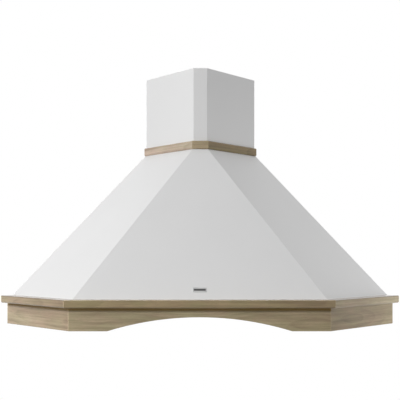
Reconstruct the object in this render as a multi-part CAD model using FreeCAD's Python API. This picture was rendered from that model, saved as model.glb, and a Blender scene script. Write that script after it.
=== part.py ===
import FreeCAD, Part
import math
import os
from FreeCAD import Vector

# A corner range hood: a white sheet-steel canopy and chimney cover that fit into the corner of
# two walls, with oak trim round the three open sides, and the blower, filters, lamps and push
# buttons that work inside and under it. Millimetres, +Z up. The origin is the line where the two
# walls meet, at the level of the trim's lowest edge. The front faces -Y, the walls run back to
# the origin at 45 degrees on either side.

# Outline against the walls
CROWN_REACH = 1000.0
CROWN_OVERHANG = 25.0
SKIRT_SIDE = 380.0
CHIMNEY_REACH = 322.0
CHIMNEY_FRONT = 54.0
CANOPY_LEDGE = 6.5

# Heights
SKIRT_HEIGHT = 75.0
CROWN_HEIGHT = 26.0
CANOPY_RISE = 561.5
COLLAR_HEIGHT = 32.5
CHIMNEY_HEIGHT = 320.5
BASE_LEVEL = 52.0

# Oak trim
BOARD = 22.0
ARCH_SPAN = 593.0
ARCH_RISE = 44.8
COLLAR_DEPTH = 12.0
CROWN_LOWER_ROUND = 6.0
CROWN_UPPER_ROUND = 3.0
COLLAR_ROUND = 5.0
ARRIS = 1.5

# Sheet steel
SHEET = 1.2
BEND_RADIUS = 2.5
BOTTOM_FLANGE = 20.0
WALL_FLANGE = 20.0
TOP_FLANGE = 25.0
CHIMNEY_SHEET = 1.0
CHIMNEY_FLANGE = 14.0
PANEL_GAP = 0.3

# Chimney extension, stored inside the cover
EXTENSION_GAP = 1.0
EXTENSION_SEAT = 0.2
EXTENSION_SHORT = 3.0
EXTENSION_TRAVEL = 250.0
EXTENSION_FLANGE = 40.0
BRACKET_SHEET = 1.5
BRACKET_HEIGHT = 36.0
BRACKET_DROP = 10.0
BRACKET_END_GAP = 4.0

# Wall fixing
FIXING_RADIUS = 4.25
FIXING_INNER = 110.0
FIXING_SPACING = 340.0
FIXING_LEVEL = 430.0
KEYHOLE_LEVEL = 560.0
KEYHOLE_INNER = 90.0
KEYHOLE_SPACING = 210.0
KEYHOLE_HEAD = 7.0
KEYHOLE_NECK = 3.5
KEYHOLE_RISE = 14.0
ANGLE_LEG = 25.0
ANGLE_SHEET = 2.0
ANGLE_END_GAP = 8.0

# Grease filters
FILTER_WIDTH = 290.0
FILTER_LENGTH = 330.0
FILTER_HEIGHT = 10.0
FILTER_SPACING = 24.0
FILTER_INSET = 104.0
FILTER_SIDE_GAP = 2.0
FILTER_FRONT_GAP = 3.0
FILTER_REAR_GAP = 4.0
FILTER_SKIN = 1.2
FILTER_RAIL = 16.0
FILTER_FRONT_RAIL = 34.0
FILTER_PAD_GRIP = 8.0
FILTER_PAD_GAP = 0.3
FILTER_TILT = 70.0
FILTER_TAB_WIDTH = 30.0
FILTER_TAB_REACH = 12.0
FILTER_TAB_SHEET = 1.5
FILTER_TAB_CENTRE = 80.0
FILTER_TAB_LIFT = 0.3
MESH_ROWS = 9
MESH_COLUMNS = 11
MESH_STRAND = 5.0

# Filter latches
LATCH_WIDTH = 44.0
LATCH_LENGTH = 17.0
LATCH_TRAVEL = 6.0
LATCH_GAP = 0.4
LATCH_NOSE_WIDTH = 18.0
LATCH_NOSE_HEIGHT = 2.0
LATCH_NOSE_LIFT = 1.0
LATCH_GRIP_WIDTH = 24.0
LATCH_GRIP_LENGTH = 8.0
LATCH_GRIP_DROP = 4.0

# Lamps
LAMP_OFFSET = 250.0
STRIP_INSET = 52.0
LAMP_HOLE = 30.0
LAMP_RIM = 36.0
LAMP_RIM_HEIGHT = 3.0
LAMP_EYE = 25.0
LAMP_WALL = 2.0
LAMP_NECK_HEIGHT = 11.0
LAMP_GAP = 0.2
LENS_THICKNESS = 2.5
LENS_DROP = 1.5
LAMP_SHOULDER = 4.0
LAMP_SINK_HEIGHT = 16.0
LAMP_FINS = 8
LAMP_FIN_WIDTH = 3.0

# Push buttons
BUTTON_NAMES = ("button_off", "button_low", "button_medium", "button_high", "button_light")
BUTTON_PITCH = 28.0
BUTTON_RADIUS = 7.0
BUTTON_GAP = 0.25
BUTTON_DROP = 3.0
BUTTON_TRAVEL = 2.5
BUTTON_LIP = 1.5
BUTTON_STEM = 3.0
BUTTON_STEM_HEIGHT = 5.6
BUTTON_ROUND = 1.0
BEZEL_LENGTH = 160.0
BEZEL_WIDTH = 30.0
BEZEL_HEIGHT = 2.0
BEZEL_CORNER = 6.0
BEZEL_LIP = 5.0
SWITCH_WALL = 2.0
SWITCH_HEIGHT = 20.0
SWITCH_SIZE = 6.0
SWITCH_BODY = 4.0
PLUNGER_RADIUS = 1.75
PLUNGER_HEIGHT = 1.4
PLUNGER_GAP = 0.1
CIRCUIT = 1.6

# Blower
IMPELLER_RADIUS = 75.0
BLADE_DEPTH = 13.0
BLADE_COUNT = 36
BLADE_SHEET = 1.0
BLADE_LEAN = 35.0
BLADE_BULGE = 2.2
IMPELLER_HALF = 55.0
IMPELLER_RING = 3.0
IMPELLER_DISC = 2.0
HUB_RADIUS = 12.0
HUB_HALF = 12.0
SHAFT_RADIUS = 4.0
SHAFT_CLEARANCE = 0.05
SCROLL_WALL = 2.5
SCROLL_SIDE_GAP = 7.0
SCROLL_FIRST_GAP = 11.0
SCROLL_STEP = 12.0
THROAT_LEFT = 30.0
TONGUE_OUT = 36.0
TONGUE_UP = 76.0
THROAT_UP = 130.0
INLET_RADIUS = 58.0
INLET_LIP = 6.0
SCROLL_FLANGE = 12.0
SCROLL_FLANGE_SHEET = 3.0
MOTOR_RADIUS = 40.0
MOTOR_LENGTH = 56.0
MOTOR_GAP = 4.0
MOTOR_BOSS = 12.0
MOTOR_BOSS_LENGTH = 4.0
MOTOR_BORE_DEPTH = 26.0
SPIDER_SHEET = 3.0
SPIDER_RING = 7.0
SPIDER_ARM = 14.0
SPIDER_ARMS = 3
SPIDER_REACH = 15.0

# Outlet
DUCT_RADIUS = 75.0
DUCT_WALL = 2.0
DUCT_HEIGHT = 44.0
DUCT_FLANGE = 13.0
DUCT_FLANGE_SHEET = 2.5
ADAPTER_HEIGHT = 55.0
FLAP_LEVEL = 19.0
FLAP_SHEET = 1.2
FLAP_RADIUS_GAP = 1.5
FLAP_ROD = 2.0
FLAP_BORE_GAP = 0.06
FLAP_KNUCKLE = 3.6
FLAP_START = 4.0
FLAP_SEAT = 5.0
FLAP_SEAT_GAP = 0.3
FLAP_OPEN = 75.0
KNUCKLE_LENGTH = 24.0
KNUCKLE_CENTRES = {"flap_front": 48.0, "flap_rear": 18.0}

# Electrics
BOX_START = 300.0
BOX_WIDTH = 160.0
BOX_LEVEL = 180.0
BOX_TALL = 110.0
BOX_DEEP = 38.0
BOX_WALL = 2.0
BOARD_STAND = 6.0
BOARD_MARGIN = 6.0
CAPACITOR_RADIUS = 13.0
CAPACITOR_LENGTH = 55.0
TERMINAL_LENGTH = 50.0
TERMINAL_WIDTH = 16.0
TERMINAL_HEIGHT = 14.0
TERMINAL_WAYS = 4
TERMINAL_HOLE = 2.2
GLAND_FROM_LEFT = 60.0
GLAND_FROM_RIGHT = 260.0
GLAND_BORE = 4.0
GLAND_THREAD = 7.9
GLAND_BODY = 11.0
GLAND_HEIGHT = 18.0
GLAND_TAIL = 10.0
GLAND_HOLE_GAP = 0.2
NUT_RADIUS = 13.0
NUT_HEIGHT = 5.0

# Screws
SCREW_SHANK = 2.0
SCREW_HEAD = 4.0
SCREW_HEAD_HEIGHT = 2.0
SCREW_HOLE_GAP = 0.2
TRIM_SCREW = 16.0
PANEL_SCREW = 7.0
PLATE_SCREW = 6.0
BLOWER_SCREW = 9.0
TRIM_SCREW_MARGIN = 85.0
PANEL_SCREW_MARGIN = 36.0
WALL_SCREW_MARGIN = 240.0
PLATE_SCREW_MARGIN = 66.0

ROOT2 = math.sqrt(2.0)
UP = Vector(0, 0, 1)
ALONG = Vector(1, 0, 0)
BIG = 3000.0


def from_walls(right, left, z=0.0):
    """Point that lies so far out along the right wall and so far out along the left wall."""
    return Vector((right - left) / ROOT2, -(right + left) / ROOT2, z)


INTO_ROOM = from_walls(0, 1)


class Outline:
    """Five-sided plan against the walls: reach along each wall, and front distance from the corner."""

    def __init__(self, reach, front):
        self.reach = reach
        self.front = front
        self.side = ROOT2 * front - reach

    def inset(self, depth):
        """The outline with its three open sides moved in by depth."""
        return Outline(self.reach - depth, self.front - depth)

    def front_half(self):
        """Half the width of the front side."""
        return (self.reach - self.side) / ROOT2

    def points(self, z, wall_gap=0.0):
        """Corners at height z, with the wall sides wall_gap clear of the walls."""
        reach, side, gap = self.reach, self.side, wall_gap
        places = ((gap, gap), (reach, gap), (reach, side), (side, reach), (gap, reach))
        return [from_walls(right, left, z) for right, left in places]

    def prism(self, low, high, wall_gap=0.0):
        """Solid between two heights."""
        return polygon(self.points(low, wall_gap)).extrude(UP * (high - low))


# Levels and outlines that follow from the driving sizes
SKIRT = Outline(
    CROWN_REACH - CROWN_OVERHANG,
    (CROWN_REACH - CROWN_OVERHANG + SKIRT_SIDE) / ROOT2,
)
CROWN = SKIRT.inset(-CROWN_OVERHANG)
CANOPY_FOOT = SKIRT.inset(BOARD)
CHIMNEY = Outline(CHIMNEY_REACH, ROOT2 * CHIMNEY_REACH - CHIMNEY_FRONT / 2)
CANOPY_HEAD = CHIMNEY.inset(-CANOPY_LEDGE)
COLLAR = CHIMNEY.inset(-COLLAR_DEPTH)
EXTENSION = CHIMNEY.inset(CHIMNEY_SHEET + EXTENSION_GAP)
CROWN_TOP = SKIRT_HEIGHT + CROWN_HEIGHT
CANOPY_TOP = CROWN_TOP + CANOPY_RISE
CHIMNEY_TOP = CANOPY_TOP + CHIMNEY_HEIGHT
PANEL_UNDER = BASE_LEVEL - SHEET
PLATE_TOP = CANOPY_TOP - SHEET
PLATE_UNDER = PLATE_TOP - SHEET
SIDE_SLOPE = (CANOPY_FOOT.reach - CANOPY_HEAD.reach) / CANOPY_RISE
FRONT_SLOPE = (CANOPY_FOOT.front - CANOPY_HEAD.front) / CANOPY_RISE
SIDE_INSET = SHEET * math.hypot(1, SIDE_SLOPE)
FRONT_INSET = SHEET * math.hypot(1, FRONT_SLOPE)
BAND_INSIDE = CANOPY_FOOT.inset(SHEET)

FILTER_CENTRE = (FILTER_WIDTH + FILTER_SPACING) / 2
FILTER_FRONT_Y = -(CANOPY_FOOT.front - FILTER_INSET)
FILTER_REAR_Y = FILTER_FRONT_Y + FILTER_LENGTH
HINGE_Y = FILTER_REAR_Y + FILTER_REAR_GAP
STRIP_Y = -(CANOPY_FOOT.front - STRIP_INSET)

DUCT_CENTRE = from_walls(CHIMNEY_REACH / 2, CHIMNEY_REACH / 2)
ADAPTER_TOP = PLATE_UNDER
ADAPTER_FOOT = ADAPTER_TOP - ADAPTER_HEIGHT
SCROLL_RADII = [IMPELLER_RADIUS + SCROLL_FIRST_GAP + SCROLL_STEP * turn for turn in range(3)]
THROAT_RIGHT = SCROLL_STEP / 2 + SCROLL_RADII[2]
FAN_Y = DUCT_CENTRE.y - (THROAT_LEFT + THROAT_RIGHT) / 2
FAN_Z = ADAPTER_FOOT - THROAT_UP
FAN_CENTRE = Vector(0, FAN_Y, FAN_Z)
SCROLL_INSIDE = IMPELLER_HALF + SCROLL_SIDE_GAP
SCROLL_OUTSIDE = SCROLL_INSIDE + SCROLL_WALL
MOTOR_START = HUB_HALF + MOTOR_GAP
FLAP_AXIS = Vector(DUCT_CENTRE.x, DUCT_CENTRE.y, PLATE_TOP + FLAP_LEVEL)


def polygon(points):
    """Flat face with these corners."""
    return Part.Face(Part.makePolygon(list(points) + [points[0]]))


def box(low, high):
    """Box between two corners."""
    return Part.makeBox(high.x - low.x, high.y - low.y, high.z - low.z, low)


def cylinder(radius, start, end):
    """Round bar between two points."""
    return Part.makeCylinder(radius, (end - start).Length, start, end - start)


def disc(radius, centre, low, high):
    """Upright round bar on a centre, between two heights."""
    return Part.makeCylinder(radius, high - low, Vector(centre.x, centre.y, low), UP)


def tube(outer, inner, centre, low, high):
    """Upright ring on a centre, between two heights."""
    return disc(outer, centre, low, high).cut(disc(inner, centre, low, high))


def wall_plate(profile, near, far):
    """Plate along the right wall, from (distance out, height) pairs and its distances off the wall."""
    points = [from_walls(out, near, height) for out, height in profile]
    return polygon(points).extrude(from_walls(0, far - near))


def mirrored(shape):
    """The same piece on the left of the hood."""
    return shape.mirror(Vector(0, 0, 0), ALONG)


def both_sides(shape):
    """A right-hand shape and its left-hand copy."""
    return [shape, mirrored(shape)]


def joined(shapes):
    """One solid from several that meet."""
    return shapes[0].multiFuse(shapes[1:]).removeSplitter()


def edges_on(shape, *tests):
    """Edges whose two ends both pass every test."""
    return [
        edge
        for edge in shape.Edges
        if all(test(vertex.Point) for test in tests for vertex in edge.Vertexes)
    ]


def near(value, target):
    """True where two sizes agree."""
    return abs(value - target) < 1e-4


def at_height(z):
    """Test for points at a height."""
    return lambda point: near(point.z, z)


def at_reach(reach):
    """Test for points so far out along the right wall."""
    return lambda point: near((point.x - point.y) / ROOT2, reach)


def at_front(front):
    """Test for points so far forward of the corner."""
    return lambda point: near(-point.y, front)


def mitred_right(outer, inner, low, high):
    """Right-hand strip of a trim, square at the wall and mitred at the front corner."""
    places = (
        (inner.reach, 0),
        (outer.reach, 0),
        (outer.reach, outer.side),
        (inner.reach, inner.side),
    )
    points = [from_walls(right, left, low) for right, left in places]
    return polygon(points).extrude(UP * (high - low))


def mitred_front(outer, inner, low, high):
    """Front strip of a trim, mitred at both ends."""
    places = (
        (outer.reach, outer.side),
        (outer.side, outer.reach),
        (inner.side, inner.reach),
        (inner.reach, inner.side),
    )
    points = [from_walls(right, left, low) for right, left in places]
    return polygon(points).extrude(UP * (high - low))


def screw(seat, direction, length):
    """Pan-head screw: the head's underside is on seat and the shank runs along direction."""
    shank = Part.makeCylinder(SCREW_SHANK, length, seat, direction)
    head = Part.makeCylinder(SCREW_HEAD, SCREW_HEAD_HEIGHT, seat, -direction)
    return joined([shank, head])


def screw_hole(seat, direction, length):
    """Clearance hole for a screw, from just behind its seat to just past its tip."""
    start = seat - direction * SCREW_HOLE_GAP
    return Part.makeCylinder(
        SCREW_SHANK + SCREW_HOLE_GAP, length + 2 * SCREW_HOLE_GAP, start, direction
    )


def spread(half, margin):
    """Two distances from the middle, so that four places are even and end margin from the ends."""
    return (half - margin) / 3, half - margin


def trim_screw_places():
    """Seat and direction of each screw that holds the oak, from inside the steel band."""
    places = []
    skirt_level = (BASE_LEVEL + SHEET + SKIRT_HEIGHT) / 2
    crown_level = SKIRT_HEIGHT + CROWN_HEIGHT / 2
    for level in (skirt_level, crown_level):
        for offset in spread(BAND_INSIDE.front_half(), TRIM_SCREW_MARGIN):
            for x in (-offset, offset):
                places.append((Vector(x, -BAND_INSIDE.front, level), Vector(0, -1, 0)))
        for left in (TRIM_SCREW_MARGIN, BAND_INSIDE.side - TRIM_SCREW_MARGIN):
            seat = from_walls(BAND_INSIDE.reach, left, level)
            outward = from_walls(1, 0)
            places.append((seat, outward))
            places.append((Vector(-seat.x, seat.y, seat.z), Vector(-outward.x, outward.y, 0)))
    return places


def panel_screw_places():
    """Seats of the screws that hold the base panel up to the canopy and the wall panels."""
    flange = CANOPY_FOOT.inset((SHEET + BOTTOM_FLANGE) / 2)
    seats = []
    for x in spread(flange.front_half(), PANEL_SCREW_MARGIN):
        seats.append(Vector(x, -flange.front, PANEL_UNDER))
    for right in (WALL_SCREW_MARGIN, CANOPY_FOOT.reach - WALL_SCREW_MARGIN):
        seats.append(from_walls(right, SHEET + WALL_FLANGE / 2, PANEL_UNDER))
    return seats + [Vector(-seat.x, seat.y, seat.z) for seat in seats]


def plate_screw_places():
    """Seats of the screws that join top plate, canopy and chimney cover."""
    middle = CHIMNEY_SHEET + EXTENSION_GAP + CHIMNEY_SHEET + SCREW_HEAD
    sides = (PLATE_SCREW_MARGIN, CHIMNEY.side - PLATE_SCREW_MARGIN)
    seats = [from_walls(CHIMNEY_REACH - middle, left, PLATE_UNDER) for left in sides]
    return seats + [Vector(-seat.x, seat.y, seat.z) for seat in seats]


def blower_screw_places():
    """Seats of the screws down through the collar flange and up through the outlet flange."""
    collar, throat = [], []
    ring = DUCT_RADIUS + DUCT_FLANGE / 2
    middle_y = FAN_Y + (THROAT_LEFT + THROAT_RIGHT) / 2
    half_y = (THROAT_RIGHT - THROAT_LEFT) / 2 + SCROLL_WALL + SCROLL_FLANGE / 2
    half_x = SCROLL_OUTSIDE + SCROLL_FLANGE / 2
    for turn in range(4):
        angle = math.radians(45 + 90 * turn)
        offset = Vector(ring * math.cos(angle), ring * math.sin(angle), 0)
        collar.append(DUCT_CENTRE + offset + UP * (PLATE_TOP + DUCT_FLANGE_SHEET))
    for across in (-half_x, half_x):
        for along in (-half_y, half_y):
            level = ADAPTER_FOOT - SCROLL_FLANGE_SHEET
            throat.append(Vector(across, middle_y + along, level))
    return collar, throat


def make_skirt():
    """Oak boards below the crown: two plain sides and the arched front."""
    right = mitred_right(SKIRT, CANOPY_FOOT, 0, SKIRT_HEIGHT)
    right = right.makeFillet(ARRIS, edges_on(right, at_reach(SKIRT.reach), at_height(0)))
    front = mitred_front(SKIRT, CANOPY_FOOT, 0, SKIRT_HEIGHT)
    half = ARCH_SPAN / 2
    behind = -(SKIRT.front + BOARD)
    arc = Part.Arc(
        Vector(-half, behind, 0), Vector(0, behind, ARCH_RISE), Vector(half, behind, 0)
    ).toShape()
    chord = Part.makeLine(Vector(half, behind, 0), Vector(-half, behind, 0))
    arch = Part.Face(Part.Wire([arc, chord])).extrude(Vector(0, 3 * BOARD, 0))
    front = front.cut(arch)
    under = [
        edge
        for edge in edges_on(front, at_front(SKIRT.front))
        if edge.CenterOfMass.z < ARCH_RISE
        and not near(edge.Vertexes[0].Point.z, edge.Vertexes[1].Point.z + SKIRT_HEIGHT)
        and not near(edge.Vertexes[1].Point.z, edge.Vertexes[0].Point.z + SKIRT_HEIGHT)
    ]
    front = front.makeFillet(ARRIS, under)
    return {"skirt_right": right, "skirt_left": mirrored(right), "skirt_front": front}


def rounded_trim(outer, inner, low, high, lower_round, upper_round):
    """Right and front strips of a moulding with its outer edges rounded."""
    right = mitred_right(outer, inner, low, high)
    front = mitred_front(outer, inner, low, high)
    for radius, level in ((lower_round, low), (upper_round, high)):
        right = right.makeFillet(radius, edges_on(right, at_reach(outer.reach), at_height(level)))
        front = front.makeFillet(radius, edges_on(front, at_front(outer.front), at_height(level)))
    return right, front


def make_crown():
    """Oak moulding that stands out over the skirt."""
    right, front = rounded_trim(
        CROWN, CANOPY_FOOT, SKIRT_HEIGHT, CROWN_TOP, CROWN_LOWER_ROUND, CROWN_UPPER_ROUND
    )
    return {"crown_right": right, "crown_left": mirrored(right), "crown_front": front}


def make_collar():
    """Oak strip round the foot of the chimney."""
    right, front = rounded_trim(
        COLLAR, CHIMNEY, CANOPY_TOP, CANOPY_TOP + COLLAR_HEIGHT, COLLAR_ROUND, COLLAR_ROUND
    )
    return {"collar_right": right, "collar_left": mirrored(right), "collar_front": front}


def frustum(foot, head, low, high, wall_gap):
    """Sloped body between two outlines."""
    wires = [
        Part.makePolygon(points + [points[0]])
        for points in (foot.points(low, wall_gap), head.points(high, wall_gap))
    ]
    return Part.makeLoft(wires, True, True)


def hip_edges(body, foot, head, low, high):
    """The two sloped front corner edges of a frustum."""
    hips = []
    for index in (2, 3):
        start, end = foot.points(low)[index], head.points(high)[index]
        for edge in body.Edges:
            ends = [vertex.Point for vertex in edge.Vertexes]
            if len(ends) == 2 and all(
                min(point.distanceToPoint(start), point.distanceToPoint(end)) < 1e-4
                for point in ends
            ):
                hips.append(edge)
    return hips


def inner_canopy(outline):
    """An outline moved in by the sheet's thickness, measured level on the slopes."""
    return Outline(outline.reach - SIDE_INSET, outline.front - FRONT_INSET)


def canopy_wall_flange():
    """Return flange of the canopy along the right wall, just inside the wall panel."""
    edge_foot = BAND_INSIDE.reach + SHEET / 2
    edge_head = CANOPY_HEAD.reach - SIDE_INSET / 2
    lip_foot = BAND_INSIDE.reach - WALL_FLANGE
    lip_head = CANOPY_HEAD.reach - SIDE_INSET - WALL_FLANGE
    profile = (
        (edge_foot, BASE_LEVEL),
        (edge_foot, CROWN_TOP),
        (edge_head, CANOPY_TOP),
        (lip_head, CANOPY_TOP),
        (lip_foot, CROWN_TOP),
        (lip_foot, BASE_LEVEL),
    )
    return wall_plate(profile, SHEET, 2 * SHEET)


def make_canopy():
    """White steel canopy: three slopes folded and welded at the hips, a band and flanges."""
    outer = frustum(CANOPY_FOOT, CANOPY_HEAD, CROWN_TOP, CANOPY_TOP, 0)
    outer = outer.makeFillet(
        BEND_RADIUS, hip_edges(outer, CANOPY_FOOT, CANOPY_HEAD, CROWN_TOP, CANOPY_TOP)
    )
    foot, head = inner_canopy(CANOPY_FOOT), inner_canopy(CANOPY_HEAD)
    inner = frustum(foot, head, CROWN_TOP, CANOPY_TOP, -WALL_FLANGE)
    slopes = outer.cut(inner)
    band = CANOPY_FOOT.prism(BASE_LEVEL, CROWN_TOP)
    band = band.cut(BAND_INSIDE.prism(BASE_LEVEL, CROWN_TOP, -WALL_FLANGE))
    bottom = CANOPY_FOOT.prism(BASE_LEVEL, BASE_LEVEL + SHEET)
    bottom = bottom.cut(
        CANOPY_FOOT.inset(BOTTOM_FLANGE).prism(BASE_LEVEL, BASE_LEVEL + SHEET, -WALL_FLANGE)
    )
    top = CANOPY_HEAD.prism(PLATE_TOP, CANOPY_TOP)
    top = top.cut(CANOPY_HEAD.inset(TOP_FLANGE).prism(PLATE_TOP, CANOPY_TOP, -WALL_FLANGE))
    shell = joined([slopes, band, bottom, top] + both_sides(canopy_wall_flange()))
    holes = [screw_hole(seat, way, TRIM_SCREW) for seat, way in trim_screw_places()]
    holes += [screw_hole(seat, UP, PANEL_SCREW) for seat in panel_screw_places()]
    holes += [screw_hole(seat, UP, PLATE_SCREW) for seat in plate_screw_places()]
    return {"canopy_shell": shell.cut(holes)}


def panel_edge(z):
    """How far out along the wall the wall panel reaches at a height, inside the canopy's sheet."""
    above_crown = max(0.0, z - CROWN_TOP)
    return CANOPY_FOOT.reach - SIDE_SLOPE * above_crown - SIDE_INSET - PANEL_GAP


def keyhole(out, level):
    """Hanging slot in the wall panel: a round entry and a narrow neck above it."""
    rise = level + KEYHOLE_RISE
    start, end = -SHEET, 2 * SHEET
    entry = cylinder(KEYHOLE_HEAD, from_walls(out, start, level), from_walls(out, end, level))
    seat = cylinder(KEYHOLE_NECK, from_walls(out, start, rise), from_walls(out, end, rise))
    sides = (out - KEYHOLE_NECK, out + KEYHOLE_NECK)
    profile = ((sides[0], level), (sides[1], level), (sides[1], rise), (sides[0], rise))
    return [entry, seat, wall_plate(profile, start, end)]


def make_wall_panels():
    """Steel panels that close the canopy against the walls and hang it there."""
    foot = BASE_LEVEL + SHEET
    profile = (
        (0, foot),
        (panel_edge(foot), foot),
        (panel_edge(CROWN_TOP), CROWN_TOP),
        (panel_edge(PLATE_TOP), PLATE_TOP),
        (0, PLATE_TOP),
    )
    plate = wall_plate(profile, 0, SHEET)
    flange_end = CANOPY_FOOT.reach - BOTTOM_FLANGE - WALL_FLANGE
    flange_start = 2 * WALL_FLANGE
    lip = polygon(
        [
            from_walls(flange_start, 0, BASE_LEVEL),
            from_walls(flange_end, 0, BASE_LEVEL),
            from_walls(flange_end, SHEET + WALL_FLANGE, BASE_LEVEL),
            from_walls(flange_start, SHEET + WALL_FLANGE, BASE_LEVEL),
        ]
    ).extrude(UP * SHEET)
    web = wall_plate(
        (
            (flange_start, BASE_LEVEL),
            (flange_end, BASE_LEVEL),
            (flange_end, foot + SHEET),
            (flange_start, foot + SHEET),
        ),
        0,
        SHEET,
    )
    left_half = box(Vector(-BIG, -BIG, -BIG), Vector(0, BIG, BIG))
    cutters = [left_half]
    for out in (FIXING_INNER, FIXING_INNER + FIXING_SPACING):
        start, end = from_walls(out, -SHEET, FIXING_LEVEL), from_walls(out, 2 * SHEET, FIXING_LEVEL)
        cutters.append(cylinder(FIXING_RADIUS, start, end))
    for out in (KEYHOLE_INNER, KEYHOLE_INNER + KEYHOLE_SPACING):
        cutters += keyhole(out, KEYHOLE_LEVEL)
    cutters += [screw_hole(seat, UP, PANEL_SCREW) for seat in panel_screw_places()]
    right = joined([plate, lip, web]).cut(cutters)
    low, high = foot + ANGLE_END_GAP, PLATE_UNDER - ANGLE_END_GAP
    corners = (
        (SHEET, SHEET),
        (SHEET + ANGLE_LEG, SHEET),
        (SHEET + ANGLE_LEG, SHEET + ANGLE_SHEET),
        (SHEET + ANGLE_SHEET, SHEET + ANGLE_SHEET),
        (SHEET + ANGLE_SHEET, SHEET + ANGLE_LEG),
        (SHEET, SHEET + ANGLE_LEG),
    )
    angle = polygon([from_walls(a, b, low) for a, b in corners]).extrude(UP * (high - low))
    return {
        "wall_panel_right": right,
        "wall_panel_left": mirrored(right),
        "corner_angle": angle,
    }


def make_top_plate():
    """Plate across the canopy's neck that the blower hangs from."""
    edge = CANOPY_HEAD.inset(SIDE_INSET + PANEL_GAP)
    plate = edge.prism(PLATE_UNDER, PLATE_TOP, 2 * SHEET + ANGLE_SHEET)
    gland = from_walls(GLAND_FROM_LEFT, GLAND_FROM_RIGHT)
    collar_screws, _ = blower_screw_places()
    cutters = [
        disc(DUCT_RADIUS - DUCT_WALL, DUCT_CENTRE, PLATE_UNDER, PLATE_TOP),
        disc(GLAND_THREAD + GLAND_HOLE_GAP, gland, PLATE_UNDER, PLATE_TOP),
    ]
    cutters += [screw_hole(seat, UP, PLATE_SCREW) for seat in plate_screw_places()]
    cutters += [screw_hole(seat, -UP, BLOWER_SCREW) for seat in collar_screws]
    return {"top_plate": plate.cut(cutters)}


def bent_cover(outline, sheet, low, high, wall_offset, flange):
    """Chimney sheet: two faces and the narrow front between them, with returns along the walls."""
    inside = outline.inset(sheet)
    outer = outline.prism(low, high, wall_offset)
    corners = [outline.points(low)[index] for index in (2, 3)]
    upright = [
        edge
        for edge in outer.Edges
        if any(
            near(vertex.Point.x, corner.x) and near(vertex.Point.y, corner.y)
            for corner in corners
            for vertex in edge.Vertexes[:1]
        )
        and near(edge.Vertexes[0].Point.x, edge.Vertexes[1].Point.x)
        and near(edge.Vertexes[0].Point.y, edge.Vertexes[1].Point.y)
    ]
    outer = outer.makeFillet(BEND_RADIUS, upright)
    walls = outer.cut(inside.prism(low, high, -flange))
    profile = (
        (inside.reach - flange, low),
        (inside.reach + sheet / 2, low),
        (inside.reach + sheet / 2, high),
        (inside.reach - flange, high),
    )
    return [walls] + both_sides(wall_plate(profile, wall_offset, wall_offset + sheet))


def make_chimney():
    """Fixed lower chimney cover, and the extension that slides up out of it with its bracket."""
    low, high = CANOPY_TOP, CHIMNEY_TOP
    pieces = bent_cover(CHIMNEY, CHIMNEY_SHEET, low, high, 0, CHIMNEY_FLANGE)
    foot = CHIMNEY.inset(CHIMNEY_SHEET / 2).prism(low, low + CHIMNEY_SHEET)
    hole = CHIMNEY.inset(CHIMNEY_SHEET + CHIMNEY_FLANGE)
    pieces.append(foot.cut(hole.prism(low, low + CHIMNEY_SHEET, -CHIMNEY_FLANGE)))
    holes = [screw_hole(seat, UP, PLATE_SCREW) for seat in plate_screw_places()]
    cover = joined(pieces).cut(holes)

    seat = low + CHIMNEY_SHEET + EXTENSION_SEAT
    top = high - EXTENSION_SHORT
    extension = joined(
        bent_cover(EXTENSION, CHIMNEY_SHEET, seat, top, BRACKET_SHEET, EXTENSION_FLANGE)
    )
    end = CHIMNEY.reach - CHIMNEY_SHEET - CHIMNEY_FLANGE - BRACKET_END_GAP
    bracket_top = top - BRACKET_DROP
    bracket_foot = bracket_top - BRACKET_HEIGHT
    profile = ((0, bracket_foot), (end, bracket_foot), (end, bracket_top), (0, bracket_top))
    arm = wall_plate(profile, 0, BRACKET_SHEET)
    level = (bracket_foot + bracket_top) / 2
    for out in (FIXING_INNER, end - FIXING_INNER / 2):
        start, stop = from_walls(out, -SHEET, level), from_walls(out, 2 * BRACKET_SHEET, level)
        arm = arm.cut(cylinder(FIXING_RADIUS, start, stop))
    return {
        "chimney_cover": cover,
        "chimney_extension": extension,
        "extension_bracket": joined(both_sides(arm)),
    }


def filter_opening():
    """Cutter for the right-hand filter's opening in the base panel."""
    half = FILTER_WIDTH / 2 + FILTER_SIDE_GAP
    return box(
        Vector(FILTER_CENTRE - half, FILTER_FRONT_Y - FILTER_FRONT_GAP, PANEL_UNDER),
        Vector(FILTER_CENTRE + half, HINGE_Y, BASE_LEVEL),
    )


def make_base_panel():
    """Underside panel with openings for the filters, lamps and buttons."""
    panel = CANOPY_FOOT.inset(PANEL_GAP).prism(PANEL_UNDER, BASE_LEVEL)
    half_x = BEZEL_LENGTH / 2 - BEZEL_LIP
    half_y = BEZEL_WIDTH / 2 - BEZEL_LIP
    cutters = both_sides(filter_opening())
    cutters += both_sides(
        disc(LAMP_HOLE, Vector(LAMP_OFFSET, STRIP_Y, 0), PANEL_UNDER, BASE_LEVEL)
    )
    cutters.append(
        box(
            Vector(-half_x, STRIP_Y - half_y, PANEL_UNDER),
            Vector(half_x, STRIP_Y + half_y, BASE_LEVEL),
        )
    )
    cutters += [screw_hole(seat, UP, PANEL_SCREW) for seat in panel_screw_places()]
    return {"base_panel": panel.cut(cutters)}


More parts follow.
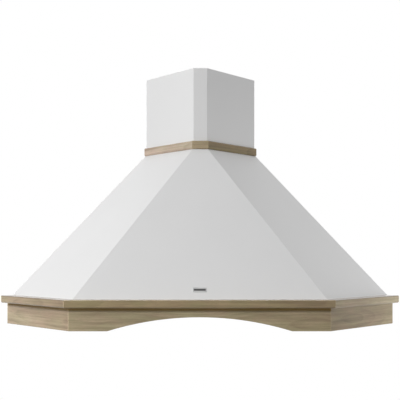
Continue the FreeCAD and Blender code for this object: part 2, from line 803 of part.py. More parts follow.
def latch_pocket():
    """Hollow of the filter's front rail that the latch slides in, with its two slots."""
    low, high = PANEL_UNDER + FILTER_SKIN, PANEL_UNDER + FILTER_HEIGHT - FILTER_SKIN
    half = LATCH_WIDTH / 2 + LATCH_GAP
    front = FILTER_FRONT_Y + FILTER_SKIN
    pocket = box(
        Vector(FILTER_CENTRE - half, front, low),
        Vector(FILTER_CENTRE + half, front + LATCH_LENGTH + LATCH_TRAVEL + 2 * LATCH_GAP, high),
    )
    nose = LATCH_NOSE_WIDTH / 2 + LATCH_GAP
    nose_low = low + LATCH_NOSE_LIFT - LATCH_GAP
    nose_slot = box(
        Vector(FILTER_CENTRE - nose, FILTER_FRONT_Y, nose_low),
        Vector(FILTER_CENTRE + nose, front, nose_low + LATCH_NOSE_HEIGHT + 2 * LATCH_GAP),
    )
    grip = LATCH_GRIP_WIDTH / 2 + LATCH_GAP
    grip_front = latch_grip_front()
    grip_slot = box(
        Vector(FILTER_CENTRE - grip, grip_front - LATCH_GAP, PANEL_UNDER),
        Vector(
            FILTER_CENTRE + grip,
            grip_front + LATCH_GRIP_LENGTH + LATCH_TRAVEL + LATCH_GAP,
            low,
        ),
    )
    return [pocket, nose_slot, grip_slot]


def latch_grip_front():
    """Front of the latch's finger grip, which sits in the middle of the slider."""
    slack = (LATCH_LENGTH - LATCH_GRIP_LENGTH) / 2
    return FILTER_FRONT_Y + FILTER_SKIN + LATCH_GAP + slack


def make_latch():
    """Sliding latch of the right-hand filter."""
    low = PANEL_UNDER + FILTER_SKIN + LATCH_GAP
    high = PANEL_UNDER + FILTER_HEIGHT - FILTER_SKIN - LATCH_GAP
    front = FILTER_FRONT_Y + FILTER_SKIN + LATCH_GAP
    half = LATCH_WIDTH / 2
    slider = box(
        Vector(FILTER_CENTRE - half, front, low),
        Vector(FILTER_CENTRE + half, front + LATCH_LENGTH, high),
    )
    nose = LATCH_NOSE_WIDTH / 2
    nose_low = PANEL_UNDER + FILTER_SKIN + LATCH_NOSE_LIFT
    tip = FILTER_FRONT_Y - FILTER_FRONT_GAP + LATCH_GAP
    tongue = box(
        Vector(FILTER_CENTRE - nose, tip, nose_low),
        Vector(FILTER_CENTRE + nose, front, nose_low + LATCH_NOSE_HEIGHT),
    )
    grip = LATCH_GRIP_WIDTH / 2
    grip_front = latch_grip_front()
    foot = PANEL_UNDER - LATCH_GRIP_DROP
    handle = box(
        Vector(FILTER_CENTRE - grip, grip_front, foot),
        Vector(FILTER_CENTRE + grip, grip_front + LATCH_GRIP_LENGTH, low),
    )
    lower = edges_on(handle, at_height(foot))
    handle = handle.makeFillet(ARRIS, lower)
    return joined([slider, tongue, handle])


def filter_mesh():
    """Expanded-metal pad of the right-hand filter: a sheet with a diamond lattice."""
    half = FILTER_WIDTH / 2 - FILTER_RAIL + FILTER_PAD_GRIP - FILTER_PAD_GAP
    front = FILTER_FRONT_Y + FILTER_FRONT_RAIL - FILTER_PAD_GRIP + FILTER_PAD_GAP
    rear = FILTER_REAR_Y - FILTER_RAIL + FILTER_PAD_GRIP - FILTER_PAD_GAP
    low = PANEL_UNDER + FILTER_SKIN + FILTER_PAD_GAP
    high = PANEL_UNDER + FILTER_HEIGHT - FILTER_SKIN - FILTER_PAD_GAP
    open_half = FILTER_WIDTH / 2 - FILTER_RAIL
    open_front = FILTER_FRONT_Y + FILTER_FRONT_RAIL
    open_rear = FILTER_REAR_Y - FILTER_RAIL
    pitch_x = 2 * open_half / MESH_COLUMNS
    pitch_y = (open_rear - open_front) / MESH_ROWS
    reach_x, reach_y = pitch_x / 2 - MESH_STRAND / 2, pitch_y / 2 - MESH_STRAND / 2
    outline = Part.makePolygon(
        [
            Vector(FILTER_CENTRE - half, front, low),
            Vector(FILTER_CENTRE + half, front, low),
            Vector(FILTER_CENTRE + half, rear, low),
            Vector(FILTER_CENTRE - half, rear, low),
            Vector(FILTER_CENTRE - half, front, low),
        ]
    )
    diamonds = []
    for row in range(MESH_ROWS):
        for column in range(MESH_COLUMNS):
            x = FILTER_CENTRE - open_half + pitch_x * (column + 0.5)
            y = open_front + pitch_y * (row + 0.5)
            corners = [
                Vector(x - reach_x, y, low),
                Vector(x, y - reach_y, low),
                Vector(x + reach_x, y, low),
                Vector(x, y + reach_y, low),
            ]
            diamonds.append(Part.makePolygon(corners + [corners[0]]))
    return Part.Face([outline] + diamonds).extrude(UP * (high - low))


def filter_frame():
    """Aluminium frame of the right-hand filter, with the two tabs that it pivots on."""
    low, high = PANEL_UNDER, PANEL_UNDER + FILTER_HEIGHT
    half = FILTER_WIDTH / 2
    body = box(
        Vector(FILTER_CENTRE - half, FILTER_FRONT_Y, low),
        Vector(FILTER_CENTRE + half, FILTER_REAR_Y, high),
    )
    open_half = half - FILTER_RAIL
    window = box(
        Vector(FILTER_CENTRE - open_half, FILTER_FRONT_Y + FILTER_FRONT_RAIL, low),
        Vector(FILTER_CENTRE + open_half, FILTER_REAR_Y - FILTER_RAIL, high),
    )
    grip = open_half + FILTER_PAD_GRIP
    groove = box(
        Vector(
            FILTER_CENTRE - grip,
            FILTER_FRONT_Y + FILTER_FRONT_RAIL - FILTER_PAD_GRIP,
            low + FILTER_SKIN,
        ),
        Vector(
            FILTER_CENTRE + grip,
            FILTER_REAR_Y - FILTER_RAIL + FILTER_PAD_GRIP,
            high - FILTER_SKIN,
        ),
    )
    tabs = []
    tab_low = BASE_LEVEL + FILTER_TAB_LIFT
    for x in (FILTER_CENTRE - FILTER_TAB_CENTRE, FILTER_CENTRE + FILTER_TAB_CENTRE):
        tabs.append(
            box(
                Vector(x - FILTER_TAB_WIDTH / 2, FILTER_REAR_Y - FILTER_SKIN, tab_low),
                Vector(
                    x + FILTER_TAB_WIDTH / 2,
                    FILTER_REAR_Y + FILTER_TAB_REACH,
                    tab_low + FILTER_TAB_SHEET,
                ),
            )
        )
    return joined([body.cut([window, groove] + latch_pocket())] + tabs)


def make_filters():
    """Both grease filters with their latches."""
    pieces = {"filter_frame": filter_frame(), "filter_mesh": filter_mesh(), "filter_latch": make_latch()}
    made = {}
    for name, shape in pieces.items():
        made[name + "_right"] = shape
        made[name + "_left"] = mirrored(shape)
    return made


def make_lamps():
    """Round lamps in the front strip of the base panel."""
    centre = Vector(LAMP_OFFSET, STRIP_Y, 0)
    rim_low = PANEL_UNDER - LAMP_RIM_HEIGHT
    neck_top = PANEL_UNDER + LAMP_NECK_HEIGHT
    neck = LAMP_HOLE - 2 * LAMP_GAP
    bore = neck - LAMP_WALL
    lens_low = PANEL_UNDER - LENS_DROP
    lens_high = lens_low + LENS_THICKNESS
    rim = disc(LAMP_RIM, centre, rim_low, PANEL_UNDER)
    rim = rim.makeFillet(ARRIS, edges_on(rim, at_height(rim_low)))
    bezel = joined([rim, disc(neck, centre, rim_low + LAMP_WALL, neck_top)])
    bezel = bezel.cut(
        [disc(LAMP_EYE, centre, rim_low, neck_top), disc(bore, centre, lens_low, neck_top)]
    )
    lens = disc(bore - LAMP_GAP, centre, lens_low, lens_high)
    sink_top = neck_top + LAMP_SHOULDER + LAMP_SINK_HEIGHT
    body = [
        disc(bore - LAMP_GAP, centre, lens_high, neck_top),
        disc(LAMP_HOLE, centre, neck_top, neck_top + LAMP_SHOULDER),
        disc(LAMP_EYE / 2, centre, neck_top, sink_top),
    ]
    for turn in range(LAMP_FINS):
        fin = box(
            Vector(0, -LAMP_FIN_WIDTH / 2, neck_top),
            Vector(LAMP_EYE, LAMP_FIN_WIDTH / 2, sink_top),
        )
        fin.rotate(Vector(0, 0, 0), UP, 360.0 * turn / LAMP_FINS)
        fin.translate(centre)
        body.append(fin)
    made = {}
    for name, shape in (("lamp_bezel", bezel), ("lamp_lens", lens), ("lamp_body", joined(body))):
        made[name + "_right"] = shape
        made[name + "_left"] = mirrored(shape)
    return made


def button_centres():
    """Name and centre of each push button, from the left."""
    start = -BUTTON_PITCH * (len(BUTTON_NAMES) - 1) / 2
    return [
        (name, Vector(start + BUTTON_PITCH * index, STRIP_Y, 0))
        for index, name in enumerate(BUTTON_NAMES)
    ]


def make_controls():
    """Push buttons with their bezel, switch board and housing."""
    bezel_low = PANEL_UNDER - BEZEL_HEIGHT
    half_x, half_y = BEZEL_LENGTH / 2, BEZEL_WIDTH / 2
    bezel = box(
        Vector(-half_x, STRIP_Y - half_y, bezel_low), Vector(half_x, STRIP_Y + half_y, PANEL_UNDER)
    )
    upright = [
        edge
        for edge in bezel.Edges
        if near(edge.Length, BEZEL_HEIGHT) and abs(edge.tangentAt(edge.FirstParameter).z) > 0.5
    ]
    bezel = bezel.makeFillet(BEZEL_CORNER, upright)
    lip_low = PANEL_UNDER + PLUNGER_GAP
    lip_high = lip_low + BUTTON_LIP
    stem_top = lip_high + BUTTON_STEM_HEIGHT
    plunger_low = stem_top + BUTTON_TRAVEL + PLUNGER_GAP
    board_low = plunger_low + PLUNGER_HEIGHT + SWITCH_BODY
    board_top = board_low + CIRCUIT
    made = {}
    switches = []
    holes = []
    for name, centre in button_centres():
        holes.append(disc(BUTTON_RADIUS + BUTTON_GAP, centre, bezel_low, PANEL_UNDER))
        cap = disc(BUTTON_RADIUS, centre, bezel_low - BUTTON_DROP, lip_low)
        cap = cap.makeFillet(BUTTON_ROUND, edges_on(cap, at_height(bezel_low - BUTTON_DROP)))
        lip = disc(BUTTON_RADIUS + BUTTON_LIP, centre, lip_low, lip_high)
        stem = disc(BUTTON_STEM, centre, lip_high, stem_top)
        made[name] = joined([cap, lip, stem])
        half = Vector(SWITCH_SIZE / 2, SWITCH_SIZE / 2, 0)
        switches.append(
            box(centre - half + UP * (board_low - SWITCH_BODY), centre + half + UP * board_low)
        )
        switches.append(disc(PLUNGER_RADIUS, centre, plunger_low, board_low - SWITCH_BODY))
    made["button_bezel"] = bezel.cut(holes)

    in_x = half_x - BEZEL_LIP + SWITCH_WALL
    in_y = half_y - BEZEL_LIP + SWITCH_WALL
    top = BASE_LEVEL + SWITCH_HEIGHT
    housing = box(
        Vector(-in_x - SWITCH_WALL, STRIP_Y - in_y - SWITCH_WALL, BASE_LEVEL),
        Vector(in_x + SWITCH_WALL, STRIP_Y + in_y + SWITCH_WALL, top),
    )
    hollow = box(
        Vector(-in_x, STRIP_Y - in_y, BASE_LEVEL),
        Vector(in_x, STRIP_Y + in_y, top - SWITCH_WALL),
    )
    posts = [
        disc(SWITCH_WALL, Vector(x, y, 0), board_top, top - SWITCH_WALL / 2)
        for x in (-in_x + BEZEL_LIP, in_x - BEZEL_LIP)
        for y in (STRIP_Y - in_y + BEZEL_LIP, STRIP_Y + in_y - BEZEL_LIP)
    ]
    made["switch_housing"] = joined([housing.cut(hollow)] + posts)
    gap = Vector(PANEL_GAP, PANEL_GAP, 0)
    board = box(
        Vector(-in_x, STRIP_Y - in_y, board_low) + gap,
        Vector(in_x, STRIP_Y + in_y, board_top) - gap,
    )
    made["switch_board"] = joined([board] + switches)
    return made


def volute(grow, start, end):
    """Scroll-shaped slab across the fan axis, its walls moved out by grow."""
    first, second, third = (radius + grow for radius in SCROLL_RADII)
    half = SCROLL_STEP / 2
    diagonal = math.sqrt(0.5)

    def at(y, z):
        return FAN_CENTRE + Vector(start, y, z)

    def quarter(centre_y, centre_z, radius, from_y, from_z, to_y, to_z):
        middle_y, middle_z = (from_y + to_y) * diagonal, (from_z + to_z) * diagonal
        return Part.Arc(
            at(centre_y + radius * from_y, centre_z + radius * from_z),
            at(centre_y + radius * middle_y, centre_z + radius * middle_z),
            at(centre_y + radius * to_y, centre_z + radius * to_z),
        ).toShape()

    corners = [
        at(half + third, half),
        at(half + third, THROAT_UP),
        at(THROAT_LEFT - grow, THROAT_UP),
        at(TONGUE_OUT - grow, TONGUE_UP + grow),
        at(-half, -half + first),
    ]
    edges = [
        quarter(-half, -half, first, 0, 1, -1, 0),
        quarter(half, -half, second, -1, 0, 0, -1),
        quarter(half, half, third, 0, -1, 1, 0),
    ]
    edges += [Part.makeLine(a, b) for a, b in zip(corners, corners[1:])]
    return Part.Face(Part.Wire(edges)).extrude(ALONG * (end - start))


def make_scroll():
    """Moulded blower housing in two halves, split across the fan's axis."""
    right = volute(SCROLL_WALL, 0, SCROLL_OUTSIDE).cut(volute(0, 0, SCROLL_INSIDE))
    eye = cylinder(
        INLET_RADIUS + SCROLL_WALL, FAN_CENTRE, FAN_CENTRE + ALONG * 2 * SCROLL_OUTSIDE
    )
    lip_start = SCROLL_INSIDE - INLET_LIP
    profile = [
        Vector(lip_start, INLET_RADIUS, 0),
        Vector(SCROLL_OUTSIDE, INLET_RADIUS, 0),
        Vector(SCROLL_OUTSIDE + INLET_LIP, INLET_RADIUS + INLET_LIP, 0),
        Vector(SCROLL_OUTSIDE + INLET_LIP, INLET_RADIUS + INLET_LIP + SCROLL_WALL, 0),
        Vector(SCROLL_OUTSIDE, INLET_RADIUS + INLET_LIP, 0),
        Vector(SCROLL_INSIDE, INLET_RADIUS + INLET_LIP, 0),
        Vector(SCROLL_INSIDE, INLET_RADIUS + SCROLL_WALL, 0),
        Vector(lip_start, INLET_RADIUS + SCROLL_WALL, 0),
    ]
    mouth = polygon(profile).revolve(Vector(0, 0, 0), ALONG, 360)
    mouth.translate(FAN_CENTRE)
    rim_y = (FAN_Y + THROAT_LEFT - SCROLL_WALL, FAN_Y + THROAT_RIGHT + SCROLL_WALL)
    rim = box(
        Vector(0, rim_y[0] - SCROLL_FLANGE, ADAPTER_FOOT - SCROLL_FLANGE_SHEET),
        Vector(SCROLL_OUTSIDE + SCROLL_FLANGE, rim_y[1] + SCROLL_FLANGE, ADAPTER_FOOT),
    )
    throat = box(
        Vector(0, FAN_Y + THROAT_LEFT, ADAPTER_FOOT - SCROLL_FLANGE_SHEET),
        Vector(SCROLL_INSIDE, FAN_Y + THROAT_RIGHT, ADAPTER_FOOT),
    )
    _, throat_screws = blower_screw_places()
    holes = [screw_hole(seat, UP, BLOWER_SCREW) for seat in throat_screws]
    right = joined([right.cut(eye), mouth, rim.cut(throat)]).cut(holes)
    return {"scroll_right": right, "scroll_left": mirrored(right)}


def blade():
    """One forward-curved blade, as a slab along the fan axis."""
    inner, outer = IMPELLER_RADIUS - BLADE_DEPTH, IMPELLER_RADIUS - BLADE_SHEET
    lean = math.radians(BLADE_LEAN)
    root = Vector(-IMPELLER_HALF, 0, inner)
    tip = Vector(-IMPELLER_HALF, -outer * math.sin(lean) / 4, outer)
    chord = tip - root
    across = chord.cross(ALONG).normalize()
    middle = (root + tip) / 2 + across * BLADE_BULGE
    thick = across * BLADE_SHEET
    face = Part.Face(
        Part.Wire(
            [
                Part.Arc(root, middle, tip).toShape(),
                Part.makeLine(tip, tip + thick),
                Part.Arc(tip + thick, middle + thick, root + thick).toShape(),
                Part.makeLine(root + thick, root),
            ]
        )
    )
    return face.extrude(ALONG * 2 * IMPELLER_HALF)


def make_blower():
    """Double-inlet impeller on its shaft, the motor in one eye, and the spider that holds it."""
    first = blade()
    wheel = []
    for turn in range(BLADE_COUNT):
        copy = first.copy()
        copy.rotate(Vector(0, 0, 0), ALONG, 360.0 * turn / BLADE_COUNT)
        wheel.append(copy)
    ring_inner = IMPELLER_RADIUS - BLADE_DEPTH + BLADE_SHEET
    for end in (-IMPELLER_HALF, IMPELLER_HALF - IMPELLER_RING):
        start, stop = ALONG * end, ALONG * (end + IMPELLER_RING)
        wheel.append(cylinder(IMPELLER_RADIUS, start, stop).cut(cylinder(ring_inner, start, stop)))
    half_disc = ALONG * (IMPELLER_DISC / 2)
    wheel.append(cylinder(IMPELLER_RADIUS, -half_disc, half_disc))
    wheel.append(cylinder(HUB_RADIUS, ALONG * -HUB_HALF, ALONG * HUB_HALF))
    bore = cylinder(SHAFT_RADIUS, ALONG * -SCROLL_OUTSIDE, ALONG * SCROLL_OUTSIDE)
    impeller = joined(wheel).cut(bore)
    shaft_end = MOTOR_START + MOTOR_BORE_DEPTH - MOTOR_GAP
    shaft = cylinder(SHAFT_RADIUS, ALONG * -HUB_HALF, ALONG * shaft_end)

    can_start = MOTOR_START + MOTOR_BOSS_LENGTH
    can_end = can_start + MOTOR_LENGTH
    can = cylinder(MOTOR_RADIUS, ALONG * can_start, ALONG * can_end)
    can = can.makeFillet(
        BEND_RADIUS, [edge for edge in can.Edges if near(edge.Length, math.tau * MOTOR_RADIUS)]
    )
    boss = cylinder(MOTOR_BOSS, ALONG * MOTOR_START, ALONG * (can_start + BEND_RADIUS))
    shaft_hole = cylinder(
        SHAFT_RADIUS + SHAFT_CLEARANCE,
        ALONG * MOTOR_START,
        ALONG * (MOTOR_START + MOTOR_BORE_DEPTH),
    )
    motor = joined([can, boss]).cut(shaft_hole)

    plane = SCROLL_OUTSIDE + INLET_LIP
    near_face, far_face = ALONG * plane, ALONG * (plane + SPIDER_SHEET)
    spider = [cylinder(MOTOR_RADIUS + SPIDER_RING, near_face, far_face)]
    for turn in range(SPIDER_ARMS):
        arm = box(
            Vector(plane, -SPIDER_ARM / 2, 0),
            Vector(plane + SPIDER_SHEET, SPIDER_ARM / 2, INLET_RADIUS + SPIDER_REACH),
        )
        arm.rotate(Vector(0, 0, 0), ALONG, 360.0 * turn / SPIDER_ARMS)
        spider.append(arm)
    spider = joined(spider).cut(cylinder(MOTOR_RADIUS, near_face, far_face))
    made = {
        "impeller": impeller,
        "motor_shaft": shaft,
        "motor_body": motor,
        "motor_spider": spider,
    }
    for shape in made.values():
        shape.translate(FAN_CENTRE)
    return made


def rectangle_to_circle(grow):
    """Ruled body from the throat's rectangle up to the round outlet."""
    half_x = SCROLL_INSIDE + grow
    low_y, high_y = FAN_Y + THROAT_LEFT - grow, FAN_Y + THROAT_RIGHT + grow
    radius = DUCT_RADIUS - DUCT_WALL + grow
    corners = [
        Vector(half_x, low_y, ADAPTER_FOOT),
        Vector(half_x, high_y, ADAPTER_FOOT),
        Vector(-half_x, high_y, ADAPTER_FOOT),
        Vector(-half_x, low_y, ADAPTER_FOOT),
    ]
    lower = Part.makePolygon(corners + [corners[0]])

    def on_circle(degrees):
        angle = math.radians(degrees)
        place = Vector(radius * math.cos(angle), radius * math.sin(angle), ADAPTER_TOP)
        return Vector(DUCT_CENTRE.x, DUCT_CENTRE.y, 0) + place

    arcs = [
        Part.Arc(on_circle(a), on_circle(a + 45), on_circle(a + 90)).toShape()
        for a in (-45, 45, 135, 225)
    ]
    return Part.makeLoft([lower, Part.Wire(arcs)], True, True)


def make_outlet():
    """Adapter from the scroll's throat to the round collar, and the collar with its check flaps."""
    collar_screws, throat_screws = blower_screw_places()
    throat_y = (FAN_Y + THROAT_LEFT - SCROLL_WALL, FAN_Y + THROAT_RIGHT + SCROLL_WALL)
    foot = box(
        Vector(-SCROLL_OUTSIDE - SCROLL_FLANGE, throat_y[0] - SCROLL_FLANGE, ADAPTER_FOOT),
        Vector(
            SCROLL_OUTSIDE + SCROLL_FLANGE,
            throat_y[1] + SCROLL_FLANGE,
            ADAPTER_FOOT + SCROLL_FLANGE_SHEET,
        ),
    )
    rim = disc(DUCT_RADIUS + DUCT_FLANGE, DUCT_CENTRE, ADAPTER_TOP - DUCT_FLANGE_SHEET, ADAPTER_TOP)
    adapter = joined([rectangle_to_circle(SCROLL_WALL), foot, rim]).cut(rectangle_to_circle(0))
    holes = [screw_hole(seat, UP, BLOWER_SCREW) for seat in throat_screws]
    holes += [screw_hole(seat, -UP, BLOWER_SCREW) for seat in collar_screws]

    base, top = PLATE_TOP, PLATE_TOP + DUCT_HEIGHT
    bore = DUCT_RADIUS - DUCT_WALL
    seat_top = FLAP_AXIS.z - FLAP_SHEET / 2 - FLAP_SEAT_GAP
    rod_ends = (FLAP_AXIS - ALONG * DUCT_RADIUS, FLAP_AXIS + ALONG * DUCT_RADIUS)
    notch = box(
        FLAP_AXIS - Vector(bore, FLAP_START, FLAP_START + FLAP_SEAT),
        FLAP_AXIS + Vector(bore, FLAP_START, 0),
    )
    seat_ring = tube(DUCT_RADIUS, bore - FLAP_SEAT, DUCT_CENTRE, seat_top - FLAP_SHEET, seat_top)
    collar = joined(
        [
            tube(DUCT_RADIUS, bore, DUCT_CENTRE, base, top),
            tube(DUCT_RADIUS + DUCT_FLANGE, bore, DUCT_CENTRE, base, base + DUCT_FLANGE_SHEET),
            seat_ring.cut(notch),
        ]
    )
    rod = cylinder(FLAP_ROD, *rod_ends)
    collar = collar.cut([rod] + holes)
    made = {"outlet_adapter": adapter.cut(holes), "duct_collar": collar, "flap_rod": rod}
    rod_space = cylinder(FLAP_ROD + FLAP_BORE_GAP, *rod_ends)
    for name, way in (("flap_front", -1), ("flap_rear", 1)):
        made[name] = make_flap(KNUCKLE_CENTRES[name], way).cut(rod_space)
    return made


def make_flap(knuckle_centre, way):
    """Half-round check flap with its two knuckles, towards the front (-1) or the rear (1)."""
    low, high = FLAP_AXIS.z - FLAP_SHEET / 2, FLAP_AXIS.z + FLAP_SHEET / 2
    radius = DUCT_RADIUS - DUCT_WALL - FLAP_RADIUS_GAP
    half = box(
        Vector(-radius, min(way * FLAP_START, way * radius), low) + Vector(0, FLAP_AXIS.y, 0),
        Vector(radius, max(way * FLAP_START, way * radius), high) + Vector(0, FLAP_AXIS.y, 0),
    )
    pieces = [disc(radius, FLAP_AXIS, low, high).common(half)]
    for centre in (-knuckle_centre, knuckle_centre):
        start = FLAP_AXIS + ALONG * (centre - KNUCKLE_LENGTH / 2)
        end = FLAP_AXIS + ALONG * (centre + KNUCKLE_LENGTH / 2)
        pieces.append(cylinder(FLAP_KNUCKLE, start, end))
        inner, outer = 0, way * (FLAP_START + FLAP_SHEET)
        pieces.append(
            box(
                Vector(start.x, FLAP_AXIS.y + min(inner, outer), low),
                Vector(end.x, FLAP_AXIS.y + max(inner, outer), high),
            )
        )
    return joined(pieces)


def make_electrics():
    """Control box on the left wall panel with what it holds, and the mains cable's gland."""
    end, top = BOX_START + BOX_WIDTH, BOX_LEVEL + BOX_TALL
    floor = SHEET
    rim = floor + BOX_DEEP

    def block(inset, low, high):
        profile = (
            (BOX_START + inset, BOX_LEVEL + inset),
            (end - inset, BOX_LEVEL + inset),
            (end - inset, top - inset),
            (BOX_START + inset, top - inset),
        )
        return wall_plate(profile, low, high)

    board_low = floor + BOX_WALL + BOARD_STAND
    stands = []
    for out in (BOX_START + 2 * BOARD_MARGIN, end - 2 * BOARD_MARGIN):
        for height in (BOX_LEVEL + 2 * BOARD_MARGIN, top - 2 * BOARD_MARGIN):
            low, high = from_walls(out, floor, height), from_walls(out, board_low, height)
            stands.append(cylinder(BOX_WALL, low, high))
    tray = block(0, floor, rim).cut(block(BOX_WALL, floor + BOX_WALL, rim))
    tray = joined([tray] + stands)
    lip = block(BOX_WALL + PANEL_GAP, rim - BOX_WALL, rim)
    lip = lip.cut(block(2 * BOX_WALL + PANEL_GAP, rim - BOX_WALL, rim))
    cover = joined([block(0, rim, rim + BOX_WALL), lip])
    board_top = board_low + CIRCUIT
    board = block(BOARD_MARGIN, board_low, board_top)
    middle = (BOX_LEVEL + top) / 2
    can_out = BOX_START + BOX_WIDTH / 3
    can_axis = board_top + CAPACITOR_RADIUS
    capacitor = cylinder(
        CAPACITOR_RADIUS,
        from_walls(can_out, can_axis, middle - CAPACITOR_LENGTH / 2),
        from_walls(can_out, can_axis, middle + CAPACITOR_LENGTH / 2),
    )
    half = TERMINAL_LENGTH / 2
    block_out = BOX_START + 2 * BOX_WIDTH / 3
    profile = (
        (block_out, middle - half),
        (block_out + TERMINAL_WIDTH, middle - half),
        (block_out + TERMINAL_WIDTH, middle + half),
        (block_out, middle + half),
    )
    terminal = wall_plate(profile, board_top, board_top + TERMINAL_HEIGHT)
    through = from_walls(TERMINAL_WIDTH, 0)
    for way in range(TERMINAL_WAYS):
        height = middle + TERMINAL_LENGTH * ((way + 0.5) / TERMINAL_WAYS - 0.5)
        entry = from_walls(block_out, board_top + TERMINAL_HEIGHT / 2, height)
        terminal = terminal.cut(cylinder(TERMINAL_HOLE, entry, entry + through))
    made = {
        "control_box_tray": tray,
        "control_box_cover": cover,
        "circuit_board": board,
        "motor_capacitor": capacitor,
        "terminal_block": terminal,
    }
    made = {name: mirrored(shape) for name, shape in made.items()}

    centre = from_walls(GLAND_FROM_LEFT, GLAND_FROM_RIGHT)
    body = disc(GLAND_BODY, centre, PLATE_TOP, PLATE_TOP + GLAND_HEIGHT)
    body = body.makeFillet(BEND_RADIUS, edges_on(body, at_height(PLATE_TOP + GLAND_HEIGHT)))
    tail = disc(GLAND_THREAD, centre, PLATE_UNDER - GLAND_TAIL, PLATE_TOP)
    hole = disc(GLAND_BORE, centre, PLATE_UNDER - GLAND_TAIL, PLATE_TOP + GLAND_HEIGHT)
    corners = [
        centre
        + Vector(NUT_RADIUS * math.cos(turn), NUT_RADIUS * math.sin(turn), PLATE_UNDER - NUT_HEIGHT)
        for turn in (math.pi / 3 * step for step in range(6))
    ]
    nut = polygon(corners).extrude(UP * NUT_HEIGHT)
    nut = nut.cut(disc(GLAND_THREAD, centre, PLATE_UNDER - NUT_HEIGHT, PLATE_UNDER))
    made["cable_gland"] = joined([body, tail]).cut(hole)
    made["gland_nut"] = nut
    return made


def make_screws():
    """Screws, in one group for each thing that they hold."""
    collar_screws, throat_screws = blower_screw_places()
    groups = {
        "trim_screws": [screw(seat, way, TRIM_SCREW) for seat, way in trim_screw_places()],
        "base_panel_screws": [screw(seat, UP, PANEL_SCREW) for seat in panel_screw_places()],
        "top_plate_screws": [screw(seat, UP, PLATE_SCREW) for seat in plate_screw_places()],
        "blower_screws": [screw(seat, -UP, BLOWER_SCREW) for seat in collar_screws]
        + [screw(seat, UP, BLOWER_SCREW) for seat in throat_screws],
    }
    return {name: Part.makeCompound(screws) for name, screws in groups.items()}


def bored_for_trim_screws(pieces):
    """The oak pieces with blind holes for the screws that hold them."""
    holes = [screw_hole(seat, way, TRIM_SCREW) for seat, way in trim_screw_places()]
    return {name: shape.cut(holes) for name, shape in pieces.items()}


def make_hood():
    """Every piece of the hood by name."""
    pieces = {}
    for part in (
        bored_for_trim_screws({**make_skirt(), **make_crown()}),
        make_collar(),
        make_canopy(),
        make_wall_panels(),
        make_top_plate(),
        make_chimney(),
        make_base_panel(),
        make_filters(),
        make_lamps(),
        make_controls(),
        make_scroll(),
        make_blower(),
        make_outlet(),
        make_electrics(),
        make_screws(),
    ):
        pieces.update(part)
    return pieces


def main():
    """Writes one STEP file for each piece."""
    os.makedirs("parts", exist_ok=True)
    for name, shape in make_hood().items():
        shape.exportStep(os.path.join("parts", name + ".step"))


if __name__ == "__main__":
    main()
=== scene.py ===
"""Looks of a white corner range hood with oak trim: finishes, screws, filter mesh and studio."""

import logging
import math
from abc import ABC, abstractmethod
from collections.abc import Sequence
from dataclasses import dataclass
from enum import Enum
from functools import cache

import bmesh
import bpy
import numpy as np
from mathutils import Matrix, Vector


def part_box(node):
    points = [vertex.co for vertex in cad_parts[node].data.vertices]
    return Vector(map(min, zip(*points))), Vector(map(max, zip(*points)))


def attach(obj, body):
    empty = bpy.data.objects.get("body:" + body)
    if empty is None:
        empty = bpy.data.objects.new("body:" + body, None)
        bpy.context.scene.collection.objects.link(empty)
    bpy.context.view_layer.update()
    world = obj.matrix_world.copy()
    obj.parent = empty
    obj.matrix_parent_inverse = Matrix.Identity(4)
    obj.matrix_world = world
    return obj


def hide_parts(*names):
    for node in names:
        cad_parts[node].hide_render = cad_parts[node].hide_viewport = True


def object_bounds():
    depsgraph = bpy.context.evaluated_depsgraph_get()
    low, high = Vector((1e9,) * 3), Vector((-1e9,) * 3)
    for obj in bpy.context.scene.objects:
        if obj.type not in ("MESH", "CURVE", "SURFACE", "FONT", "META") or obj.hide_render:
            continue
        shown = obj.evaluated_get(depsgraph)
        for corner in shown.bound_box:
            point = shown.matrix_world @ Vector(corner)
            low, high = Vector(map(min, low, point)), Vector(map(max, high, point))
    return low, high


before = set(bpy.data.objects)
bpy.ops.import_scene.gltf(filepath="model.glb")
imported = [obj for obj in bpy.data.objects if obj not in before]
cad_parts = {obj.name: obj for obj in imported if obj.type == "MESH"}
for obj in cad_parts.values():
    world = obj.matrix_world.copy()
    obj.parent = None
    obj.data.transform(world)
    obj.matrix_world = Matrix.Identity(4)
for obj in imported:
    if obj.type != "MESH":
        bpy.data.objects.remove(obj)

LOG = logging.getLogger("corner_hood")
CAD_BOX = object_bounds()
HOOD = "hood"

Colour = tuple[float, float, float]
Triple = tuple[float, float, float]
Span = tuple[float, float]
Relief = tuple[float, float]
Socket = bpy.types.NodeSocket
Feed = float | int | str | Sequence[float] | Socket
Stops = Sequence[tuple[float, Colour]]

WHITE: Colour = (1.0, 1.0, 1.0)
WHOLE: Span = (0.0, 1.0)
MIDDLE: Span = (0.3, 0.7)
QUARTER = math.pi / 2
TINY = 1e-6
SMOOTH_BELOW = math.radians(35.0)
CORNER_POINTS = 6


class Side(Enum):
    """Side of the hood that a board, lamp or filter is on, seen from the front."""

    LEFT = -1
    FRONT = 0
    RIGHT = 1

    @property
    def word(self) -> str:
        """The side as it stands in a node's name."""
        return self.name.lower()

    @property
    def turn(self) -> float:
        """Angle about Z from +X to the length of a board on this side."""
        return QUARTER / 2 * self.value


class Trim(Enum):
    """Kinds of oak board, by the word in their nodes' names."""

    SKIRT = "skirt"
    CROWN = "crown"
    COLLAR = "collar"


class Plug(Enum):
    """Kinds of named input that a geometry node tree has."""

    GEOMETRY = "NodeSocketGeometry"
    NUMBER = "NodeSocketFloat"
    COUNT = "NodeSocketInt"
    VECTOR = "NodeSocketVector"
    OBJECT = "NodeSocketObject"
    MATERIAL = "NodeSocketMaterial"


def toned(colour: Colour, level: float, tint: Colour = WHITE) -> Colour:
    """A colour made lighter or darker by a level, and tinted."""
    red, green, blue = (part * hue * level for part, hue in zip(colour, tint))
    return (red, green, blue)


